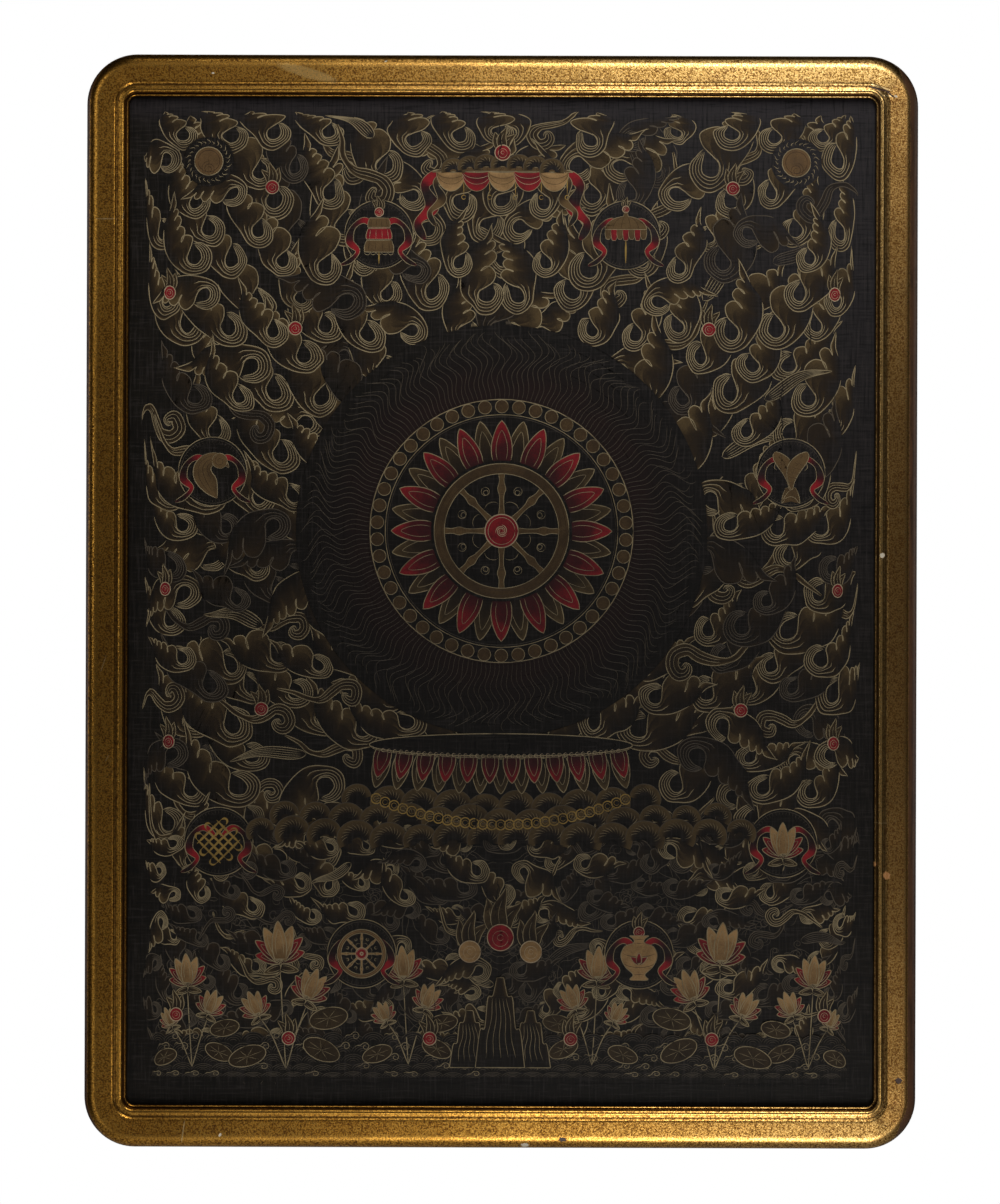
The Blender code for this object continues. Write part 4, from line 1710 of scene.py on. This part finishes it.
def paint_middle(rng):
    """The halo, the wheel on its lotus in a ring of beads, and the throne on its bank of cloud."""
    draw(halo(rng), 0, WHEEL_Z)
    draw([fill(disc(112), "wash", 0.0), line(circle(112), 0.8)], 0, WHEEL_Z)
    draw(all_round(bead(), 46, 106), 0, WHEEL_Z)
    draw([line(circle(99), 0.7), line(circle(97.2), 0.4, "dim")], 0, WHEEL_Z)
    draw(wheel_lotus(), 0, WHEEL_Z)
    draw(wheel(), 0, WHEEL_Z)
    draw(cloud_bank(205, 3, rng), 0, -176)
    draw(lotus_throne(), 0, -122)
    draw(garland((-106, -8), (106, -8), 22, 29), 0, -160)


def paint_scroll():
    """The whole painting, from back to front."""
    rng = np.random.default_rng(8)
    flame_field(rng)
    lower_field(rng)
    draw(waves(295, 5, rng), 0, -376)
    draw(mountain(), 0, -398)
    for x, z, size in LOTUS_PLANTS:
        draw_pair(lotus_plant(), x, z, 0, size)
    for x, z in HIGH_JEWELS + LOW_JEWELS:
        draw_pair(flaming_jewel(5.5), x, z)
    for signs, mirrored in ((SIGNS, False), (FACING_SIGNS, True)):
        for x, z, sign in signs:
            draw(sign_ground(), x, z, 0, 1.0, mirrored)
            draw(with_ribbons(sign()), x, z, 0, 1.0, mirrored)
    paint_middle(rng)
    for x, z, radius, paint in THREE_JEWELS:
        draw(flaming_jewel(radius, paint), x, z)
    draw(canopy(), 0, 366)
    draw_pair(sun(), 250, 374)


paint_scroll()
print(f"painting: {shape_number} shapes, {sum(map(len, STROKES.values()))} strokes before hiding")

# %% [markdown]
# ### From the charts to paint
#
# Each stroke keeps only the stretches that nothing nearer hides. Its points are thinned to the few that its
# bends need, and each becomes three points of a low ridge: left foot, crown and right foot. Both ends taper
# as a lifted brush leaves them. A curve with a bevel would make the same line from ten times the faces. A
# leaf of paint is a lens: its top is a grid that swells by a hundredth of a millimetre inside its rim, and
# one strip closes it underneath.

# %% Ridges for the strokes
LAYER = 0.05 * MM
STROKE_RISE = 0.08 * MM
STROKE_SINK = 0.005 * MM
LEAF_SWELL = 0.012 * MM
TAPER = 3.0
PATH_STEP = 0.8


def highest_leaf():
    """The chart of leaves with each cell raised to the most that lies within one millimetre."""
    raised = leaves.copy()
    for axis in (0, 1):
        widened = raised.copy()
        for shift in (-2, -1, 1, 2):
            widened = np.maximum(widened, np.roll(raised, shift, axis))
        raised = widened
    return raised


def evenly(points, step):
    """The same path with its points about that far apart, or nothing if it is too short to see."""
    distance = along_path(points)
    return None if distance[-1] < 0.8 else resampled(points, distance, max(3, int(distance[-1] / step) + 1))


def spaced(points):
    """Points closest together where the path bends: its turn per millimetre sets their density."""
    if len(points) < 6:
        return points[[0, len(points) // 2, -1]]
    steps = np.diff(points, axis=0)
    lengths = np.maximum(np.hypot(*steps.T), 1e-6)
    angles = np.unwrap(np.arctan2(steps[:, 1], steps[:, 0]))
    bend = np.abs(np.diff(angles)) / (0.5 * (lengths[1:] + lengths[:-1]))
    bend = np.convolve(np.concatenate([bend[:1], bend, bend[-1:]]), np.full(5, 0.2), "same")
    density = np.sqrt(np.minimum(bend, 2.0) / 0.8) + 0.14
    needed = np.concatenate([[0], np.cumsum(lengths * 0.5 * (density[1:] + density[:-1]))])
    return resampled(points, needed, max(3, int(math.ceil(needed[-1])) + 1))


def visible_runs(points, number):
    """The stretches of a path that lie in the field with nothing nearer above them."""
    seen = (nearest[cells(points)] <= number) & (np.abs(points) < FIELD).all(axis=1)
    edges = np.flatnonzero(np.diff(np.concatenate([[0], seen.astype(int), [0]])))
    return [points[a:b] for a, b in zip(edges[::2], edges[1::2]) if b - a > 2]


def on_cloth(points, rise):
    """Chart points in millimetres as points in metres, that far in front of the flat cloth."""
    x, z = points[..., 0] * MM, points[..., 1] * MM
    return np.stack([x, -(CLOTH_FRONT + rise), z + MIDDLE_Z], axis=-1)


def ridge(points, width, raised):
    """Left foot, crown and right foot at each point, as an (n, 3, 3) array in metres."""
    distance = along_path(points)
    from_end = np.minimum(distance, distance[-1] - distance) / min(TAPER, 0.45 * distance[-1])
    press = 0.22 + 0.78 * smooth_step(from_end) * (0.92 + 0.08 * np.sin(distance * 0.23 + points[0, 0]))
    half = (width / 2 * press)[:, None] * leftwards(points)
    foot = raised[cells(points)] * LAYER - STROKE_SINK + slack(*(points.T * MM))
    crown = foot + STROKE_RISE * press
    sides = [on_cloth(points + half, foot), on_cloth(points, crown), on_cloth(points - half, foot)]
    return np.stack(sides, axis=1)


def ridge_faces(stations, start):
    """The triangles of one closed ridge whose points are numbered from start, three to a station."""
    a = start + 3 * np.arange(stations - 1)
    faces = []
    for first, second in ((0, 1), (1, 2), (2, 0)):
        faces.append(np.stack([a + first, a + second, a + 3 + second], axis=1))
        faces.append(np.stack([a + first, a + 3 + second, a + 3 + first], axis=1))
    last = start + 3 * (stations - 1)
    faces.append(np.array([(start, start + 2, start + 1), (last, last + 1, last + 2)]))
    return np.concatenate(faces)


def stroke_mesh(strokes, raised):
    """Points and triangles of the ridges of many strokes, wherever they can be seen."""
    points, faces, count = [], [], 0
    for path, width, number in strokes:
        path = evenly(path, PATH_STEP)
        if path is None:
            continue
        for run in visible_runs(path, number):
            stations = ridge(spaced(run), width, raised)
            points.append(stations.reshape(-1, 3))
            faces.append(ridge_faces(len(stations), count))
            count += 3 * len(stations)
    return np.concatenate(points), np.concatenate(faces)


# %% Lenses for the leaves
WIDEST_LENS = 4


def lens(grid, shade, level):
    """Points, triangles and shades of one lens over a grid: a swollen top and a strip underneath."""
    rows, columns = grid.shape[:2]
    rise = level * LAYER + slack(grid[..., 0] * MM, grid[..., 1] * MM)
    rise[:, 1:-1] += LEAF_SWELL
    top = on_cloth(grid, rise)
    numbers = np.arange(rows * columns).reshape(rows, columns)
    low, high = numbers[:, 0], numbers[:, -1]
    under = np.stack([low[:-1], high[:-1], high[1:], low[1:]], axis=1)
    quads = np.concatenate([grid_faces(rows, columns)[:, ::-1], under])
    ends = [(low[0], numbers[0, k], numbers[0, k + 1]) for k in range(1, columns - 1)]
    ends += [(low[-1], numbers[-1, k + 1], numbers[-1, k]) for k in range(1, columns - 1)]
    triangles = np.concatenate([quads[:, [0, 1, 2]], quads[:, [0, 2, 3]], np.array(ends).reshape(-1, 3)])
    return top.reshape(-1, 3), triangles, shade.reshape(-1, 3)


def leaf_mesh(leaf_list):
    """All the leaves of one paint. A wide one is cut into narrow lenses, so that each lies on the cloth."""
    lenses = []
    for grid, shade, level in leaf_list:
        rim = outline(grid)
        area = np.sum(rim[:, 0] * np.roll(rim[:, 1], -1) - np.roll(rim[:, 0], -1) * rim[:, 1])
        if area < 0:
            grid, shade = grid[:, ::-1], shade[:, ::-1]
        columns = grid.shape[1]
        step = columns - 1 if columns <= WIDEST_LENS else 2
        for first in range(0, columns - 1, step):
            part = slice(first, first + step + 1)
            lenses.append(lens(grid[:, part], shade[:, part], level))
    starts = np.cumsum([0] + [len(points) for points, _, _ in lenses])
    return (
        np.concatenate([points for points, _, _ in lenses]),
        np.concatenate([triangles + start for (_, triangles, _), start in zip(lenses, starts)]),
        np.concatenate([shades for _, _, shades in lenses]),
    )


# %% [markdown]
# ### The paints
#
# Mineral colour in glue wears thin in patches, more on a line than on a leaf. Gold here is shell gold, ground
# leaf in glue, which hardly glitters, so it is a matt yellow-grey. A wash is one dark colour let down with
# water, so its leaf goes from the bare ground to the full colour with the strength stored at its points.

# %% Paint materials
def stroke_paint(name, colour, worn_colour):
    """Brushed paint that runs thin in patches, towards its worn colour."""
    material, tree, shader = new_material(name)
    patches = noise(tree, place(tree), 55, 4, 0.65)
    fine = noise(tree, place(tree), 1400, 2, 0.6)
    in_patches = ramp(tree, patches, 0.42, 0.72, 0.0, 0.65)
    worn = maths(tree, "ADD", in_patches, ramp(tree, fine, 0.55, 0.8, 0.0, 0.3))
    colour = mix(tree, worn, colour, worn_colour)
    # Painted shade: the paint is darker in the lower half, as the ground is.
    tree.links.new(cracked(tree, shaded_low(tree, colour)), shader.inputs["Base Color"])
    matt(shader)
    return material


def leaf_paint(name, colour, deep_colour):
    """Paint that goes from the bare ground, through its deep colour, to its full colour with strength.

    Between nested lines it is strongest beside one line and has gone before the next.
    """
    material, tree, shader = new_material(name)
    past_line = maths(tree, "FRACT", maths(tree, "MULTIPLY", stored(tree, "share"), BANDS))
    shaded = maths(tree, "POWER", maths(tree, "SUBTRACT", 1.0, past_line), 1.3)
    comb = stored(tree, "comb")
    kept = maths(tree, "ADD", maths(tree, "SUBTRACT", 1.0, comb), maths(tree, "MULTIPLY", comb, shaded))
    strength = maths(tree, "MULTIPLY", stored(tree, "strength"), kept)
    patches = noise(tree, place(tree), 60, 5, 0.65)
    fine = noise(tree, place(tree), 900, 2, 0.6)
    uneven = maths(tree, "MULTIPLY", strength, ramp(tree, patches, 0.25, 0.75, 1.15, 0.70))
    uneven = maths(tree, "MULTIPLY", uneven, ramp(tree, fine, 0.3, 0.8, 1.05, 0.85))
    paint = mix(tree, ramp(tree, uneven, 0.35, 1.0), deep_colour, colour)
    covered = mix(tree, ramp(tree, uneven, 0.0, 0.5), ground_colour(tree), paint)
    # Painted shade: the paint is darker in the lower half, as the ground is.
    tree.links.new(cracked(tree, shaded_low(tree, covered)), shader.inputs["Base Color"])
    matt(shader)
    bumped(tree, shader, weave(tree), WEAVE_BUMP, 0.6)
    return material


# %% The paints: name, full colour, and worn or deep colour
STROKE_PAINTS = {
    "gold": ("Thin gold line", (0.370, 0.288, 0.160), (0.105, 0.080, 0.046)),
    "dim": ("Faint gold line", (0.110, 0.087, 0.060), (0.045, 0.035, 0.026)),
    "pale": ("Cream line", (0.520, 0.390, 0.240), (0.250, 0.175, 0.105)),
    "chain": ("Ochre-gold line", (0.400, 0.250, 0.062), (0.150, 0.095, 0.030)),
    "umber": ("Umber line", (0.040, 0.020, 0.010), (0.090, 0.050, 0.022)),
}
LEAF_PAINTS = {
    "wash": ("Olive-brown wash", (0.112, 0.072, 0.029), (0.027, 0.0165, 0.0078)),
    "rust": ("Dark red wash", (0.017, 0.0075, 0.0062), (0.010, 0.0065, 0.0055)),
    "red": ("Vermilion", (0.330, 0.014, 0.020), (0.060, 0.008, 0.010)),
    "ochre": ("Yellow ochre", (0.150, 0.090, 0.036), (0.054, 0.031, 0.013)),
    "bright": ("Light yellow ochre", (0.470, 0.278, 0.115), (0.175, 0.098, 0.038)),
}

print(f"paints: {len(STROKE_PAINTS)} for lines and {len(LEAF_PAINTS)} for leaves")

# %% Build the paint, in pieces that stay small enough for every use
MOST_TRIANGLES = 190000
SHADES = ("strength", "share", "comb")
paint_pieces = []


def add_paint(name, points, faces, material, shades=None):
    """As few pieces as MOST_TRIANGLES allows, each with only the points that its own triangles use."""
    parts = math.ceil(len(faces) / MOST_TRIANGLES)
    for part in range(parts):
        chosen = faces[part * len(faces) // parts : (part + 1) * len(faces) // parts]
        used, chosen = np.unique(chosen, return_inverse=True)
        piece = new_piece(f"{name}_{part + 1}", points[used], chosen.reshape(-1, 3), material, smooth=False)
        if shades is not None:
            for shade, values in zip(SHADES, shades[used].T):
                store(piece, shade, values)
        paint_pieces.append(piece)
    print(f"{name}: {len(faces)} triangles")


raised_chart = highest_leaf()
for paint, recipe in STROKE_PAINTS.items():
    add_paint(f"{paint}_lines", *stroke_mesh(STROKES[paint], raised_chart), stroke_paint(*recipe))
for paint, recipe in LEAF_PAINTS.items():
    leaf_points, leaf_faces, leaf_shades = leaf_mesh(LEAVES[paint])
    add_paint(f"{paint}_leaves", leaf_points, leaf_faces, leaf_paint(*recipe), leaf_shades)

# %% [markdown]
# ## Camera, stage and light
#
# The photograph is taken almost square on, and is about a metre tall at the frame. The background is plain
# white, which the world gives to the camera alone, so that it doesn't flood the dark gilding with light. Two
# strong soft lamps stand in front, above and below the right half: they make the long glints on the crown and
# the bead. Faint ones at the left lift the left rail. Those at the sides, above and behind are for a viewer
# who walks round it. The lamps could be fewer and larger, but then the gilding loses its dark passages.

# %% The camera: a few metres back, a little to the right and turned by a sixth of a degree
PHOTO_SIZE = (1000, 1204)
PHOTO_MIDDLE = (501.3, 601.7)
METRES_PER_PIXEL = 0.00085
CAMERA_DISTANCE = 2.9
CAMERA_ASIDE = 0.05
MEASURED_DEPTH = 0.015
SENSOR_HEIGHT = 24
ROLL = -0.17

view_height = PHOTO_SIZE[1] * METRES_PER_PIXEL
camera_data = bpy.data.cameras.new("camera")
camera_data.sensor_fit = "VERTICAL"
camera_data.sensor_height = SENSOR_HEIGHT
camera_data.lens = SENSOR_HEIGHT * CAMERA_DISTANCE / view_height
camera_data.shift_x = -CAMERA_ASIDE / view_height
camera = bpy.data.objects.new("camera", camera_data)
camera.location = (
    (PHOTO_SIZE[0] / 2 - PHOTO_MIDDLE[0]) * METRES_PER_PIXEL + CAMERA_ASIDE,
    -CAMERA_DISTANCE - MEASURED_DEPTH,
    MIDDLE_Z - (PHOTO_SIZE[1] / 2 - PHOTO_MIDDLE[1]) * METRES_PER_PIXEL,
)
camera.rotation_euler = (math.radians(90), math.radians(ROLL), 0)
bpy.context.scene.collection.objects.link(camera)
bpy.context.scene.camera = camera
print(f"lens {camera_data.lens:.1f} mm at {CAMERA_DISTANCE} m")

# %% The floor, far enough down to stay out of the photograph's view
FLOOR_DROP = 1.6
FLOOR_HALF = 3.0
floor_material, _, floor_shader = new_material("Pale floor")
floor_shader.inputs["Base Color"].default_value = (0.72, 0.72, 0.71, 1)
floor_shader.inputs["Roughness"].default_value = 0.7
floor_corners = np.array([(-1, -1), (1, -1), (1, 1), (-1, 1)]) * FLOOR_HALF
floor_points = np.hstack([floor_corners, np.full((4, 1), MIDDLE_Z - FLOOR_DROP)])
floor = new_piece("floor", floor_points, np.array([(0, 1, 2, 3)]), floor_material)
print(f"floor {FLOOR_DROP} m below the middle")

# %% The world: white to the camera, nearly black to everything else
AMBIENT = 0.004
world = bpy.data.worlds.new("studio")
bpy.context.scene.world = world
world.use_nodes = True
world_tree = world.node_tree
to_camera = node(world_tree, "LightPath").outputs["Is Camera Ray"]
brightness = node(world_tree, "MapRange", {0: to_camera, 3: AMBIENT, 4: 1.0})
background = world_tree.nodes["Background"]
background.inputs["Color"].default_value = (1, 1, 1, 1)
world_tree.links.new(brightness.outputs[0], background.inputs["Strength"])
bpy.context.scene.view_settings.view_transform = "Standard"
print(f"world: 1 to the camera, {AMBIENT} to the rest")

# %% Soft lamps: name, place across, towards the viewer and up from the middle, width, height, watts
LAMPS = (
    ("upper_right", 0.330, 1.5, 1.22, 0.56, 0.90, 12.4),
    ("lower_right", 0.290, 1.5, -1.24, 0.56, 0.90, 10.6),
    ("upper_left", -1.23, 1.5, 0.8, 0.8, 0.8, 1.5),
    ("lower_left", -1.23, 1.5, -0.8, 0.8, 0.8, 0.9),
    ("left", -1.78, 1.3, 0.1, 0.3, 0.3, 0.55),
    ("right_side", 2.2, -0.7, 0.2, 0.8, 1.4, 2.5),
    ("left_side", -2.2, -0.7, 0.2, 0.8, 1.4, 3.0),
    ("above", 0.2, 0.8, 2.3, 1.4, 0.7, 2.5),
    ("behind", 0.0, -2.0, 0.5, 2.0, 2.0, 12),
)


def add_lamp(name, x, ahead, up, width, height, watts):
    """A soft oblong lamp that faces the middle of the frame."""
    data = bpy.data.lights.new(name, "AREA")
    data.shape = "RECTANGLE"
    data.size = width
    data.size_y = height
    data.energy = watts
    lamp = bpy.data.objects.new(name, data)
    lamp.location = (x, -ahead, MIDDLE_Z + up)
    towards = -(lamp.location - Vector((0, 0, MIDDLE_Z)))
    lamp.rotation_euler = towards.to_track_quat("-Z", "Y").to_euler()
    bpy.context.scene.collection.objects.link(lamp)


for lamp_values in LAMPS:
    add_lamp(*lamp_values)
print(f"lamps: {len(LAMPS)}, {sum(lamp_values[-1] for lamp_values in LAMPS):.1f} W together")

# %% [markdown]
# ## Joining the frame
#
# Every piece rides on the part's one body. The moulding stands for the four rails and the painted sheet for
# the plain cloth.

# %% Rides, replacements and the sheet
RAILS = ("rail_top", "rail_right", "rail_bottom", "rail_left")
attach(gilt_moulding, "root")
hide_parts(*RAILS)
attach(painted_scroll, "root")
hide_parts("painting_cloth")
for piece in paint_pieces:
    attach(piece, "root")

print(f"one sheet with {len(paint_pieces)} pieces of paint on it")
